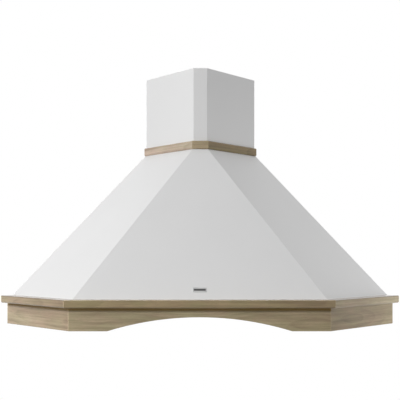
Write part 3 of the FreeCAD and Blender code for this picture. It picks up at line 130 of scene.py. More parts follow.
class NodeGraph:
    """Short calls that add and join nodes in a node tree."""

    def __init__(self, tree: bpy.types.NodeTree) -> None:
        """Starts on the shader or geometry node tree that takes the nodes."""
        self.tree = tree

    def add(
        self, kind: str, feeds: dict[str | int, Feed] | None = None, **settings: object
    ) -> bpy.types.Node:
        """Adds a node.

        Args:
            kind: the node's type.
            feeds: value or socket for each input, by its name or place.
            settings: values of the node's own properties.

        Returns:
            The node.
        """
        node = self.tree.nodes.new(kind)
        for key, value in settings.items():
            setattr(node, key, value)
        for key, value in (feeds or {}).items():
            self.feed(node.inputs[key], value)
        return node

    def feed(self, socket: Socket, value: Feed) -> None:
        """Links a socket to an input, or sets its value.

        Args:
            socket: the input.
            value: another node's output, or a constant, which is red, green and blue for a colour.
        """
        if isinstance(value, Socket):
            self.tree.links.new(value, socket)
        elif socket.type == "RGBA":
            socket.default_value = (*value, 1.0)
        else:
            socket.default_value = value

    def math(self, operation: str, *values: Feed) -> Socket:
        """Result of a math node with these inputs."""
        return self.add("ShaderNodeMath", dict(enumerate(values)), operation=operation).outputs[0]

    def vector(self, operation: str, *values: Feed) -> Socket:
        """Vector from a vector math node, or its number where the operation gives one."""
        node = self.add("ShaderNodeVectorMath", dict(enumerate(values)), operation=operation)
        return node.outputs["Value" if operation in ("LENGTH", "DOT_PRODUCT") else "Vector"]

    def weighted(self, *parts: tuple[Socket, float]) -> Socket:
        """Weighted sum of numbers.

        Args:
            parts: each number with its weight.

        Returns:
            The sum.
        """
        total: Feed = 0.0
        for number, weight in parts:
            total = self.math("MULTIPLY_ADD", number, weight, total)
        return total

    def axes(self, vector: Socket) -> Sequence[Socket]:
        """The X, Y and Z of a vector."""
        return self.add("ShaderNodeSeparateXYZ", {0: vector}).outputs

    def joined(self, x: Feed = 0.0, y: Feed = 0.0, z: Feed = 0.0) -> Socket:
        """A vector from its X, Y and Z."""
        return self.add("ShaderNodeCombineXYZ", {0: x, 1: y, 2: z}).outputs[0]

    def seen(self) -> Socket:
        """Tells what is looked at from what only gives light.

        Returns:
            A number that is 1 for the camera, also in a mirror or through glass, and else 0.
        """
        rays = self.add("ShaderNodeLightPath").outputs
        direct = self.math("MAXIMUM", rays["Is Camera Ray"], rays["Is Glossy Ray"])
        return self.math("MAXIMUM", direct, rays["Is Transmission Ray"])


class ShaderGraph(NodeGraph):
    """Nodes of one material round a Principled shader."""

    edge_samples = 6
    edge_cosines: Span = (0.75, 0.99)
    upright_lean: Span = (0.05, 0.3)
    upward_lean: Span = (0.05, 0.35)

    def __init__(self, name: str) -> None:
        """Makes the material.

        Args:
            name: the material's name.
        """
        self.material = bpy.data.materials.new(name)
        self.material.use_nodes = True
        super().__init__(self.material.node_tree)
        self.tree.nodes.clear()
        self.shader = self.add("ShaderNodeBsdfPrincipled")
        self.add("ShaderNodeOutputMaterial", {"Surface": self.shader.outputs[0]})

    def set(self, **values: Feed) -> None:
        """Sets or links the shader's inputs.

        Args:
            values: input names with _ for a space, and what each one takes.
        """
        for key, value in values.items():
            name = key.replace("_", " ").title().replace("Ior", "IOR")
            self.feed(self.shader.inputs[name], value)

    def point(self, turn: float = 0.0, shift: Triple = (0.0, 0.0, 0.0)) -> Socket:
        """Object coordinates.

        Args:
            turn: angle about Z that they are turned by.
            shift: how far they are moved after that.

        Returns:
            The coordinates, in metres.
        """
        place = self.add("ShaderNodeTexCoord").outputs["Object"]
        feeds = {"Vector": place, "Location": shift, "Rotation": (0.0, 0.0, turn)}
        return self.add("ShaderNodeMapping", feeds).outputs[0]

    def noise(
        self, place: Socket, size: Triple | float, detail: float = 2.0, roughness: float = 0.5
    ) -> Socket:
        """Cloudy noise from 0 to 1.

        Args:
            place: coordinates in metres.
            size: size of its features in metres, alike or along each axis.
            detail: octaves.
            roughness: weight of the finer octaves.

        Returns:
            The noise as a number.
        """
        sizes = (size,) * 3 if isinstance(size, float) else size
        scaled = self.vector("MULTIPLY", place, tuple(1.0 / length for length in sizes))
        feeds = {"Vector": scaled, "Scale": 1.0, "Detail": detail, "Roughness": roughness}
        return self.add("ShaderNodeTexNoise", feeds).outputs[0]

    def cells(self, place: Socket, size: float, feature: str = "F1") -> bpy.types.Node:
        """Voronoi node with cells of a size in metres."""
        feeds = {"Vector": place, "Scale": 1.0 / size}
        return self.add("ShaderNodeTexVoronoi", feeds, feature=feature)

    def ramp(self, factor: Socket, stops: Stops) -> Socket:
        """Colours spread along a number.

        Args:
            factor: the number.
            stops: place and colour of each stop.

        Returns:
            The colour.
        """
        node = self.add("ShaderNodeValToRGB", {0: factor})
        elements = node.color_ramp.elements
        while len(elements) < len(stops):
            elements.new(1.0)
        for element, (place, colour) in zip(elements, stops):
            element.position = place
            element.color = (*colour, 1.0)
        return node.outputs[0]

    def tones(self, factor: Socket, shade: Colour, levels: Span, span: Span = MIDDLE) -> Socket:
        """A shade that goes from one level of itself to another while a number crosses a span."""
        return self.ramp(factor, [(at, toned(shade, level)) for at, level in zip(span, levels)])

    def between(self, factor: Socket, levels: Span, span: Span = MIDDLE) -> Socket:
        """A number that goes from one level to another while a factor crosses a span."""
        feeds = {0: factor, 1: span[0], 2: span[1], 3: levels[0], 4: levels[1]}
        return self.add("ShaderNodeMapRange", feeds, clamp=True).outputs[0]

    def rise(self, factor: Socket, span: Span) -> Socket:
        """A number that goes from 0 to 1 while a factor crosses a span."""
        return self.between(factor, (0.0, 1.0), span)

    def fall(self, factor: Socket, span: Span) -> Socket:
        """A number that goes from 1 to 0 while a factor crosses a span."""
        return self.between(factor, (1.0, 0.0), span)

    def mixed(self, factor: Feed, first: Feed, second: Feed, way: str = "MIX") -> Socket:
        """Two colours mixed, with the factor as the second one's share."""
        feeds = {0: factor, 6: first, 7: second}
        return self.add("ShaderNodeMix", feeds, data_type="RGBA", blend_type=way).outputs[2]

    def edge(self, radius: float, upright: bool = False) -> Socket:
        """Nearness to an edge of the solid.

        Args:
            radius: how far from the edge it reaches.
            upright: whether only edges that stand upright count.

        Returns:
            A number that is 0 on the flat and 1 on the edge.
        """
        feeds = {"Radius": radius}
        eased = self.add("ShaderNodeBevel", feeds, samples=self.edge_samples).outputs[0]
        plain = self.add("ShaderNodeNewGeometry").outputs["Normal"]
        near = self.fall(self.vector("DOT_PRODUCT", eased, plain), self.edge_cosines)
        if not upright:
            return near
        lean = self.math("ABSOLUTE", self.axes(eased)[2])
        return self.math("MULTIPLY", near, self.fall(lean, self.upright_lean))

    def facing_up(self) -> Socket:
        """A number that is 1 where the surface looks up and 0 where it stands or looks down."""
        height = self.axes(self.add("ShaderNodeNewGeometry").outputs["Normal"])[2]
        return self.rise(height, self.upward_lean)

    def bump(self, height: Socket, relief: Relief) -> None:
        """Gives the surface relief, by the strength and the depth in metres of a height."""
        feeds = {"Height": height, "Strength": relief[0], "Distance": relief[1]}
        self.set(normal=self.add("ShaderNodeBump", feeds).outputs[0])


@dataclass(frozen=True)
class Finish(ABC):
    """Finish of a surface, which makes one material."""

    name: str

    @abstractmethod
    def paint(self, graph: ShaderGraph) -> None:
        """Builds the finish's nodes.

        Args:
            graph: the material's graph.
        """

    @cache
    def material(self) -> bpy.types.Material:
        """Makes the material on first use.

        Returns:
            The material.
        """
        graph = ShaderGraph(self.name)
        self.paint(graph)
        return graph.material


@dataclass(frozen=True)
class Enamel(Finish):
    """Stove enamel on sheet steel: even white, fine orange peel, and thin at the edges."""

    shade: Colour = (0.845, 0.845, 0.845)
    thin: Colour = (0.66, 0.66, 0.67)
    levels: Span = (0.988, 1.012)
    wear: Span = (0.15, 0.35)
    gloss: Span = (0.4, 0.5)
    relief: Relief = (0.05, 0.0004)
    rim: float = 0.0012
    cloud: float = 0.35
    peel: float = 0.0024

    def paint(self, graph: ShaderGraph) -> None:
        """Builds the finish's nodes.

        Args:
            graph: the material's graph.
        """
        place = graph.point()
        cloud = graph.noise(place, self.cloud, detail=3.0)
        worn = graph.math("MULTIPLY", graph.edge(self.rim), graph.between(cloud, self.wear))
        colour = graph.mixed(worn, graph.tones(cloud, self.shade, self.levels), self.thin)
        graph.set(base_color=colour, roughness=graph.between(cloud, self.gloss))
        graph.bump(graph.noise(place, self.peel, detail=1.0), self.relief)


@dataclass(frozen=True)
class Oak(Finish):
    """Light greyish oak with an oiled satin surface, its grain along the board.

    The figure is cut from rings about a pith that lies beside the board, so that every face and
    end of it shows the same log. The span is where the board starts and ends along its grain.
    """

    side: Side
    # Tint: partly the board's own tone and partly painted light and shade.
    tint: Colour
    pith: Triple
    span: Span
    drift: float
    # Whether the faces that look up are made darker, as on the side crown boards.
    stained_top: bool
    # Whether the board's upright edges get a painted highlight, a pale strip where light catches
    # the eased corner.
    lipped: bool
    # Painted shade under the crown: its colour, or None, and the height of the board's top that it
    # hangs down from.
    soil: Colour | None
    soil_top: float
    pale: Colour = (0.66, 0.53, 0.355)
    body: Colour = (0.51, 0.4, 0.255)
    deep: Colour = (0.31, 0.23, 0.135)
    wood_stops: Triple = (0.47, 0.7, 0.98)
    streak: Triple = (0.35, 0.0075, 0.0075)
    streak_weight: float = 0.7
    fibre: Triple = (0.045, 0.0011, 0.0011)
    fibre_weight: float = 0.2
    cloud: Triple = (0.16, 0.035, 0.035)
    cloud_weight: float = 0.5
    ring_weight: float = 0.2
    ring: float = 0.0085
    ring_levels: Span = (0.45, 1.0)
    late_power: float = 2.2
    late_fall: Span = (0.9, 1.0)
    bow: Triple = (0.42, 0.16, 0.16)
    bow_depth: float = 0.055
    wave: Triple = (0.11, 0.028, 0.028)
    wave_depth: float = 0.0066
    pore: Triple = (0.017, 0.00055, 0.00055)
    pore_span: Span = (0.6, 0.7)
    pore_shares: Span = (0.45, 0.1)
    pore_rings: Span = (0.2, 0.8)
    pore_level: float = 0.7
    pore_depth: float = -0.8
    patch: Triple = (0.1, 0.03, 0.03)
    patch_span: Span = (0.36, 0.64)
    greener: Colour = (0.97, 1.01, 0.97)
    redder: Colour = (1.04, 0.98, 1.03)
    drift_hue: Colour = (0.85, 1.0, 1.25)
    arris: float = 0.0025
    worn_share: float = 0.4
    worn_level: float = 1.2
    # Reach, share and level of the painted highlight on the upright edges.
    lipping: float = 0.008
    lip_share: float = 0.85
    lip_level: float = 1.25
    # Depth, fade, share and matt span of the painted shade under the crown.
    soil_depth: float = 0.013
    soil_fade: float = 0.0078
    soil_share: float = 0.62
    soil_matt: Span = (0.0, 0.5)
    stain_level: float = 0.8
    gloss: Span = (0.4, 0.55)
    specular: float = 0.1
    lacquer: float = 0.18
    relief: Relief = (0.25, 0.00035)

    def paint(self, graph: ShaderGraph) -> None:
        """Builds the finish's nodes.

        Args:
            graph: the material's graph.
        """
        place = graph.point(turn=-self.side.turn, shift=self.pith)
        rings = self.rings(graph, place)
        streaks = graph.noise(place, self.streak, detail=4.0, roughness=0.62)
        fibres = graph.noise(place, self.fibre)
        clouds = graph.noise(place, self.cloud, detail=3.0)
        pores = graph.rise(graph.noise(place, self.pore, detail=1.0), self.pore_span)
        figure = graph.weighted(
            (streaks, self.streak_weight),
            (rings, self.ring_weight),
            (fibres, self.fibre_weight),
            (clouds, self.cloud_weight),
        )
        woods = [self.wood(colour) for colour in (self.pale, self.body, self.deep)]
        colour = graph.ramp(figure, list(zip(self.wood_stops, woods)))
        patches = graph.noise(place, self.patch)
        blush = graph.ramp(patches, list(zip(self.patch_span, (self.greener, self.redder))))
        colour = graph.mixed(1.0, colour, blush, "MULTIPLY")
        colour = graph.mixed(1.0, colour, self.drifted(graph, place), "MULTIPLY")
        shares = graph.between(rings, self.pore_shares, self.pore_rings)
        darker = graph.math("MULTIPLY", pores, shares)
        colour = graph.mixed(darker, colour, self.wood(self.deep, self.pore_level))
        colour = self.aged(graph, colour)
        graph.set(base_color=colour, roughness=graph.between(streaks, self.gloss))
        graph.set(coat_roughness=self.lacquer, specular_ior_level=self.specular)
        graph.bump(graph.weighted((fibres, 1.0), (pores, self.pore_depth)), self.relief)

    def wood(self, colour: Colour, level: float = 1.0) -> Colour:
        """A colour of the wood at a level, with this board's tint."""
        return toned(colour, level, self.tint)

    def rings(self, graph: ShaderGraph, place: Socket) -> Socket:
        """Growth rings, pale in the early wood and dark at the late wood's edge.

        Args:
            graph: the material's graph.
            place: coordinates with X along the board and the pith on the X axis.

        Returns:
            Darkness of the ring from 0 to 1.
        """
        _, across, up = graph.axes(place)
        bow = graph.noise(place, self.bow, detail=1.0)
        wave = graph.noise(place, self.wave)
        straight = graph.vector("LENGTH", graph.joined(y=across, z=up))
        radius = graph.weighted((straight, 1.0), (bow, self.bow_depth), (wave, self.wave_depth))
        count = graph.math("DIVIDE", radius, self.ring)
        phase = graph.math("FRACT", count)
        feeds = {"W": graph.math("FLOOR", count)}
        year = graph.add("ShaderNodeTexWhiteNoise", feeds, noise_dimensions="1D").outputs[0]
        late = graph.math("POWER", phase, self.late_power)
        late = graph.math("MULTIPLY", late, graph.fall(phase, self.late_fall))
        return graph.math("MULTIPLY", late, graph.between(year, self.ring_levels, WHOLE))

    def drifted(self, graph: ShaderGraph, place: Socket) -> Socket:
        """Slow change of the wood's tone from one end of the board to the other.

        Args:
            graph: the material's graph.
            place: coordinates with X along the board.

        Returns:
            Factor on the colour.
        """
        red, green, blue = (self.drift * hue for hue in self.drift_hue)
        start = (1.0 - red, 1.0 - green, 1.0 - blue)
        end = (1.0 + red, 1.0 + green, 1.0 + blue)
        along = graph.rise(graph.axes(place)[0], self.span)
        return graph.ramp(along, list(zip(WHOLE, (start, end))))

    def aged(self, graph: ShaderGraph, colour: Socket) -> Socket:
        """Wood with its worn edges, a painted highlight on its upright edges, painted shade under
        the crown and darker faces where it looks up.

        Args:
            graph: the material's graph.
            colour: clean wood.

        Returns:
            The wood's colour in use.
        """
        graph.set(coat_weight=1.0)
        worn = graph.math("MULTIPLY", graph.edge(self.arris), self.worn_share)
        colour = graph.mixed(worn, colour, self.wood(self.pale, self.worn_level))
        # Painted highlight: a pale strip along the upright edges of the left boards, where the
        # light from the left catches them.
        if self.lipped:
            highlight = graph.math("MULTIPLY", graph.edge(self.lipping, upright=True), self.lip_share)
            colour = graph.mixed(highlight, colour, self.wood(self.pale, self.lip_level))
        # Painted shade: a warm brown band at the top of the board, under the crown's overhang,
        # with less lacquer in it.
        if self.soil:
            height = graph.axes(graph.point())[2]
            foot = self.soil_top - self.soil_depth
            soil = graph.rise(height, (foot, foot + self.soil_fade))
            soil = graph.math("MULTIPLY", soil, self.soil_share)
            graph.set(coat_weight=graph.fall(soil, self.soil_matt))
            colour = graph.mixed(soil, colour, self.soil)
        # The faces that look up are made darker on the side crown boards, not on the front one.
        if self.stained_top:
            top_colour = self.wood(self.deep, self.stain_level)
            colour = graph.mixed(graph.facing_up(), colour, top_colour)
        return colour


@dataclass(frozen=True)
class Galvanised(Finish):
    """Zinc-coated sheet with its frosty spangle."""

    shade: Colour = (0.53, 0.54, 0.55)
    levels: Span = (0.76, 1.18)
    level_span: Span = (0.2, 0.85)
    gloss: Span = (0.34, 0.5)
    relief: Relief = (0.05, 0.0003)
    spangle: float = 0.016
    spangle_weight: float = 0.5
    bend: float = 0.006
    haze: float = 0.12
    haze_weight: float = 0.6

    def paint(self, graph: ShaderGraph) -> None:
        """Builds the finish's nodes.

        Args:
            graph: the material's graph.
        """
        place = graph.point()
        bend = graph.noise(place, self.bend)
        bent = graph.vector("ADD", place, graph.joined(bend, bend, bend))
        crystal, gloss, _ = graph.axes(graph.cells(bent, self.spangle).outputs["Color"])
        haze = graph.noise(place, self.haze, detail=3.0)
        level = graph.weighted((crystal, self.spangle_weight), (haze, self.haze_weight))
        colour = graph.tones(level, self.shade, self.levels, self.level_span)
        graph.set(metallic=1.0, base_color=colour)
        graph.set(roughness=graph.between(gloss, self.gloss, WHOLE))
        graph.bump(crystal, self.relief)


@dataclass(frozen=True)
class BrushedMetal(Finish):
    """Bare metal with fine drawn lines along one axis."""

    shade: Colour = (0.72, 0.72, 0.73)
    line: Triple = (0.08, 0.0009, 0.0009)
    gloss: Span = (0.26, 0.4)
    levels: Span = (0.88, 1.08)
    relief: Relief = (0.08, 0.0002)
    line_weight: float = 0.6
    haze: float = 0.05
    haze_weight: float = 0.4

    def paint(self, graph: ShaderGraph) -> None:
        """Builds the finish's nodes.

        Args:
            graph: the material's graph.
        """
        place = graph.point()
        lines = graph.noise(place, self.line, detail=3.0, roughness=0.6)
        haze = graph.noise(place, self.haze)
        level = graph.weighted((lines, self.line_weight), (haze, self.haze_weight))
        graph.set(metallic=1.0, base_color=graph.tones(level, self.shade, self.levels))
        graph.set(roughness=graph.between(lines, self.gloss))
        graph.bump(lines, self.relief)


@dataclass(frozen=True)
class CastMetal(Finish):
    """Die-cast aluminium with a grainy skin."""

    shade: Colour = (0.5, 0.5, 0.51)
    metal: float = 0.9
    levels: Span = (0.85, 1.12)
    gloss: Span = (0.45, 0.65)
    relief: Relief = (0.2, 0.0003)
    grain: float = 0.0012
    flow: float = 0.03

    def paint(self, graph: ShaderGraph) -> None:
        """Builds the finish's nodes.

        Args:
            graph: the material's graph.
        """
        place = graph.point()
        grain = graph.noise(place, self.grain, detail=3.0)
        flow = graph.noise(place, self.flow, detail=3.0)
        graph.set(metallic=self.metal, base_color=graph.tones(flow, self.shade, self.levels))
        graph.set(roughness=graph.between(grain, self.gloss))
        graph.bump(grain, self.relief)


@dataclass(frozen=True)
class Moulded(Finish):
    """Moulded plastic with the fine grain of a spark-eroded tool."""

    shade: Colour = (0.05, 0.05, 0.055)
    levels: Span = (0.92, 1.06)
    gloss: Span = (0.42, 0.56)
    relief: Relief = (0.12, 0.0002)
    grain: float = 0.0008
    flow: float = 0.04

    def paint(self, graph: ShaderGraph) -> None:
        """Builds the finish's nodes.

        Args:
            graph: the material's graph.
        """
        place = graph.point()
        grain = graph.noise(place, self.grain)
        colour = graph.tones(graph.noise(place, self.flow), self.shade, self.levels)
        graph.set(base_color=colour, roughness=graph.between(grain, self.gloss))
        graph.bump(grain, self.relief)


@dataclass(frozen=True)
class PrismGlass(Finish):
    """Frosted lamp glass with a fine prism pattern."""

    shade: Colour = (0.92, 0.93, 0.92)
    levels: Span = (0.96, 1.0)
    gloss: Span = (0.3, 0.5)
    relief: Relief = (0.5, 0.0006)
    clear: float = 0.4
    bending: float = 1.5
    prism: float = 0.0022
    frost: float = 0.0009

    def paint(self, graph: ShaderGraph) -> None:
        """Builds the finish's nodes.

        Args:
            graph: the material's graph.
        """
        place = graph.point()
        prisms = graph.cells(place, self.prism).outputs["Distance"]
        frost = graph.noise(place, self.frost)
        graph.set(transmission_weight=self.clear, ior=self.bending)
        graph.set(base_color=graph.tones(frost, self.shade, self.levels))
        graph.set(roughness=graph.between(frost, self.gloss))
        graph.bump(prisms, self.relief)


@dataclass(frozen=True)
class Laminate(Finish):
    """Circuit board with solder resist over its copper tracks."""

    shade: Colour = (0.06, 0.24, 0.11)
    levels: Span = (1.0, 1.7)
    gloss: Span = (0.4, 0.3)
    relief: Relief = (0.3, 0.0002)
    track: float = 0.006
    track_edge: Span = (0.06, 0.1)

    def paint(self, graph: ShaderGraph) -> None:
        """Builds the finish's nodes.

        Args:
            graph: the material's graph.
        """
        edge = graph.cells(graph.point(), self.track, "DISTANCE_TO_EDGE").outputs["Distance"]
        copper = graph.fall(edge, self.track_edge)
        graph.set(base_color=graph.tones(copper, self.shade, self.levels, WHOLE))
        graph.set(roughness=graph.between(copper, self.gloss, WHOLE))
        graph.bump(copper, self.relief)


@dataclass(frozen=True)
class FloorPaint(Finish):
    """Pale matt paint, which the camera sees nearly as white as the surroundings."""

    shade: Colour = (0.34, 0.34, 0.34)
    levels: Span = (0.985, 1.0)
    gloss: Span = (0.8, 0.9)
    glow: Span = (0.74, 0.96)
    glow_span: Span = (4.0, 12.0)
    cloud: float = 1.5

    def paint(self, graph: ShaderGraph) -> None:
        """Builds the finish's nodes.

        Args:
            graph: the material's graph.
        """
        place = graph.point()
        cloud = graph.noise(place, self.cloud)
        graph.set(base_color=graph.tones(cloud, self.shade, self.levels))
        graph.set(roughness=graph.between(cloud, self.gloss))
        glow = graph.between(graph.vector("LENGTH", place), self.glow, self.glow_span)
        glow = graph.math("MULTIPLY", graph.seen(), glow)
        graph.set(emission_color=WHITE, emission_strength=glow)


FLOOR_PAINT = FloorPaint("floor_paint")
ENAMEL = Enamel("stove_enamel")
ZINC_SHEET = Galvanised("zinc_sheet")
FRAME_ALUMINIUM = BrushedMetal("frame_aluminium")
MESH_ALUMINIUM = BrushedMetal(
    "mesh_aluminium", shade=(0.76, 0.76, 0.77), line=(0.004, 0.004, 0.004), gloss=(0.22, 0.36)
)
SATIN_CHROME = BrushedMetal(
    "satin_chrome", shade=(0.74, 0.74, 0.75), line=(0.02, 0.0006, 0.0006), gloss=(0.16, 0.26)
)
PLATE_STEEL = BrushedMetal(
    "plate_steel", shade=(0.5, 0.5, 0.5), line=(0.03, 0.0006, 0.0006), gloss=(0.3, 0.42)
)
ZINC_PLATE = BrushedMetal(
    "zinc_plate", shade=(0.64, 0.64, 0.65), line=(0.003, 0.003, 0.003), gloss=(0.2, 0.34)
)
CAST_ALUMINIUM = CastMetal("cast_aluminium")
PLATE_INLAY = Moulded("plate_inlay", shade=(0.07, 0.07, 0.07))
WHITE_PLASTIC = Moulded("white_plastic_moulding", shade=(0.8, 0.8, 0.78))
BLACK_PLASTIC = Moulded("black_plastic_moulding")
CREAM_PLASTIC = Moulded("cream_plastic_moulding", shade=(0.76, 0.71, 0.56))
LAMP_GLASS = PrismGlass("lamp_glass")
BOARD_LAMINATE = Laminate("board_laminate")


class GeometryRecipe(NodeGraph):
    """Geometry node tree with named inputs, whose result is kept as a plain mesh."""

    def __init__(self, name: str) -> None:
        """Makes the tree with its material input.

        Args:
            name: the tree's name.
        """
        super().__init__(bpy.data.node_groups.new(name, "GeometryNodeTree"))
        self.identifiers: dict[str, str] = {}
        self.tree.interface.new_socket(
            "Geometry", in_out="OUTPUT", socket_type=Plug.GEOMETRY.value
        )
        self.entry = self.add("NodeGroupInput")
        self.exit = self.add("NodeGroupOutput")
        self.seed = self.plug("Geometry", Plug.GEOMETRY)
        self.material = self.plug("Material", Plug.MATERIAL)

    def plug(self, name: str, kind: Plug) -> Socket:
        """Adds a named input to the tree.

        Args:
            name: the input's name.
            kind: what it takes.

        Returns:
            The socket that gives its value inside the tree.
        """
        item = self.tree.interface.new_socket(name, in_out="INPUT", socket_type=kind.value)
        self.identifiers[name] = item.identifier
        return self.entry.outputs[name]

    def made(self, kind: str, feeds: dict[str | int, Feed], **settings: object) -> Socket:
        """First output of a new node."""
        return self.add(kind, feeds, **settings).outputs[0]

    def close(self, geometry: Socket) -> None:
        """Ends the tree: instances made real, with the material on them.

        Args:
            geometry: what the tree has made.
        """
        real = self.made("GeometryNodeRealizeInstances", {"Geometry": geometry})
        feeds = {"Geometry": real, "Material": self.material}
        self.feed(self.exit.inputs[0], self.made("GeometryNodeSetMaterial", feeds))

    def bake(self, name: str, seed: bpy.types.Mesh, values: dict[str, object]) -> bpy.types.Object:
        """Runs the tree and keeps its result.

        Args:
            name: the piece's name.
            seed: mesh that the tree starts from.
            values: value of each named input.

        Returns:
            The piece, with a plain mesh and no modifier.
        """
        piece = link_object(name, seed)
        modifier = piece.modifiers.new(self.tree.name, "NODES")
        modifier.node_group = self.tree
        for key, value in values.items():
            modifier[self.identifiers[key]] = value
        graph = bpy.context.evaluated_depsgraph_get()
        result = bpy.data.meshes.new_from_object(piece.evaluated_get(graph), depsgraph=graph)
        piece.modifiers.clear()
        piece.data = result
        result.name = name
        bpy.data.meshes.remove(seed)
        return piece


def link_object(name: str, data: bpy.types.ID) -> bpy.types.Object:
    """Makes an object and links it to the scene.

    Args:
        name: the object's name.
        data: its mesh, light or camera.

    Returns:
        The object.
    """
    made = bpy.data.objects.new(name, data)
    bpy.context.scene.collection.objects.link(made)
    return made


def ringed_mesh(name: str, rings: Sequence[Sequence[Vector]]) -> bpy.types.Mesh:
    """A closed mesh through rings of points, with a flat cap at each end.

    Args:
        name: the mesh's name.
        rings: rings of equal length, from one end to the other.

    Returns:
        The mesh, with its faces outwards.
    """
    form = bmesh.new()
    loops = [[form.verts.new(point) for point in ring] for ring in rings]
    for near, far in zip(loops, loops[1:]):
        for index in range(len(near)):
            form.faces.new((near[index - 1], near[index], far[index], far[index - 1]))
    form.faces.new(loops[0])
    form.faces.new(loops[-1])
    bmesh.ops.recalc_face_normals(form, faces=form.faces)
    mesh = bpy.data.meshes.new(name)
    form.to_mesh(mesh)
    form.free()
    mesh.shade_smooth()
    mesh.set_sharp_from_angle(angle=SMOOTH_BELOW)
    return mesh


def around(radius: float, turn: float, height: float) -> Vector:
    """Point at a radius and an angle about Z, at a height."""
    return Vector((radius * math.cos(turn), radius * math.sin(turn), height))


def circle(radius: float, height: float, count: int) -> list[Vector]:
    """Points of a level circle about Z, in order."""
    return [around(radius, math.tau * index / count, height) for index in range(count)]


def rounded_rectangle(width: float, length: float, corner: float, height: float) -> list[Vector]:
    """Points of a level rectangle with round corners, centred on the origin.

    Args:
        width: its size along X.
        length: its size along Y.
        corner: radius of the corners.
        height: its Z.

    Returns:
        The points in order.
    """
    points = []
    for quarter in range(4):
        middle = QUARTER * (quarter + 0.5)
        centre_x = math.copysign(width / 2 - corner, math.cos(middle))
        centre_y = math.copysign(length / 2 - corner, math.sin(middle))
        centre = Vector((centre_x, centre_y, 0.0))
        for step in range(CORNER_POINTS):
            turn = QUARTER * (quarter + step / (CORNER_POINTS - 1))
            points.append(centre + around(corner, turn, height))
    return points


def place_piece(
    piece: bpy.types.Object, body: str, stands_for: Sequence[str] = ()
) -> None:
    """Seats a finished piece on its body.

    Args:
        piece: the piece, in place.
        body: body that it moves with.
        stands_for: nodes that it is shown for.
    """
    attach(piece, body)
    if stands_for:
        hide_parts(*stands_for)
    LOG.info("%s on %s, %d faces", piece.name, body, len(piece.data.polygons))


class SubAssembly(ABC):
    """Pieces of the hood that are built and dressed together."""

    @abstractmethod
    def finishes(self) -> dict[str, Finish]:
        """Finish of each node that stays as it is."""

    def build(self) -> None:
        """Makes the pieces that the frame lacks, where there are any."""

    def dress(self) -> None:
        """Puts the finishes on the nodes."""
        for node, finish in self.finishes().items():
            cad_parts[node].material_slots[0].material = finish.material()
            LOG.info("%s in %s", node, finish.name)


@dataclass
class SteelBody(SubAssembly):
    """White canopy, chimney and base panel, and the zinc-coated sheets behind them."""

    white: tuple[str, ...] = ("canopy_shell", "chimney_cover", "chimney_extension", "base_panel")
    zinc: tuple[str, ...] = (
        "wall_panel_left", "wall_panel_right", "corner_angle", "top_plate", "extension_bracket",
    )

    def finishes(self) -> dict[str, Finish]:
        """Finish of each node that stays as it is."""
        return dict.fromkeys(self.white, ENAMEL) | dict.fromkeys(self.zinc, ZINC_SHEET)


@dataclass
class FrontPlate(SubAssembly):
    """Small bare plate on the front slope, with a plain dark inlay."""

    width: float = 0.0445
    length: float = 0.019
    thickness: float = 0.0016
    corner: float = 0.0015
    edge: float = 0.0004
    sunk: float = 0.0002
    level: float = 0.13
    inlay_width: float = 0.0395
    inlay_length: float = 0.0088
    inlay_proud: float = 0.0003

    def finishes(self) -> dict[str, Finish]:
        """No node of the frame belongs to the plate."""
        return {}

    def seat(self) -> Matrix:
        """Finds where the plate sits on the front slope.

        Returns:
            Frame on the sheet, with Z out of it and Y up the slope.
        """
        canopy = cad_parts["canopy_shell"]
        start = Vector((0.0, 2.0 * CAD_BOX[0].y, self.level))
        found, point, normal, _ = canopy.ray_cast(start, Vector((0.0, 1.0, 0.0)))
        if not found:
            raise ValueError("the front slope isn't where the plate goes")
        along = Vector((1.0, 0.0, 0.0))
        turned = Matrix((along, normal.cross(along), normal)).transposed()
        return Matrix.Translation(point) @ turned.to_4x4()

    def slab(
        self, name: str, width: float, length: float, low: float, high: float
    ) -> bpy.types.Mesh:
        """A flat plate with round corners and a broken upper edge.

        Args:
            name: the mesh's name.
            width: size along X.
            length: size along Y.
            low: Z of its back.
            high: Z of its face.

        Returns:
            The mesh, centred on the origin.
        """
        edge = min(self.edge, (high - low) / 2)
        back = rounded_rectangle(width, length, self.corner, low)
        rim = rounded_rectangle(width, length, self.corner, high - edge)
        face = rounded_rectangle(width - 2 * edge, length - 2 * edge, self.corner - edge, high)
        return ringed_mesh(name, [back, rim, face])

    def build(self) -> None:
        """Makes the plate and its inlay."""
        seat = self.seat()
        top = self.thickness + self.inlay_proud
        plate = self.slab("front_plate", self.width, self.length, -self.sunk, self.thickness)
        inlay = self.slab("front_plate_inlay", self.inlay_width, self.inlay_length, self.edge, top)
        looks = ((plate, PLATE_STEEL, "bright_steel"), (inlay, PLATE_INLAY, "black_plastic"))
        for mesh, finish, slot in looks:
            mesh.transform(seat)
            mesh.materials.append(finish.material())
            place_piece(link_object(mesh.name, mesh), HOOD)


@dataclass(frozen=True)
class Board:
    """One board of the trim, how its piece of wood differs from the others, and the light and
    shade painted on it.
    """

    trim: Trim
    side: Side
    tint: Colour
    drift: float = 0.0
    soil: Colour | None = None

    @property
    def node(self) -> str:
        """The board's node."""
        return f"{self.trim.value}_{self.side.word}"


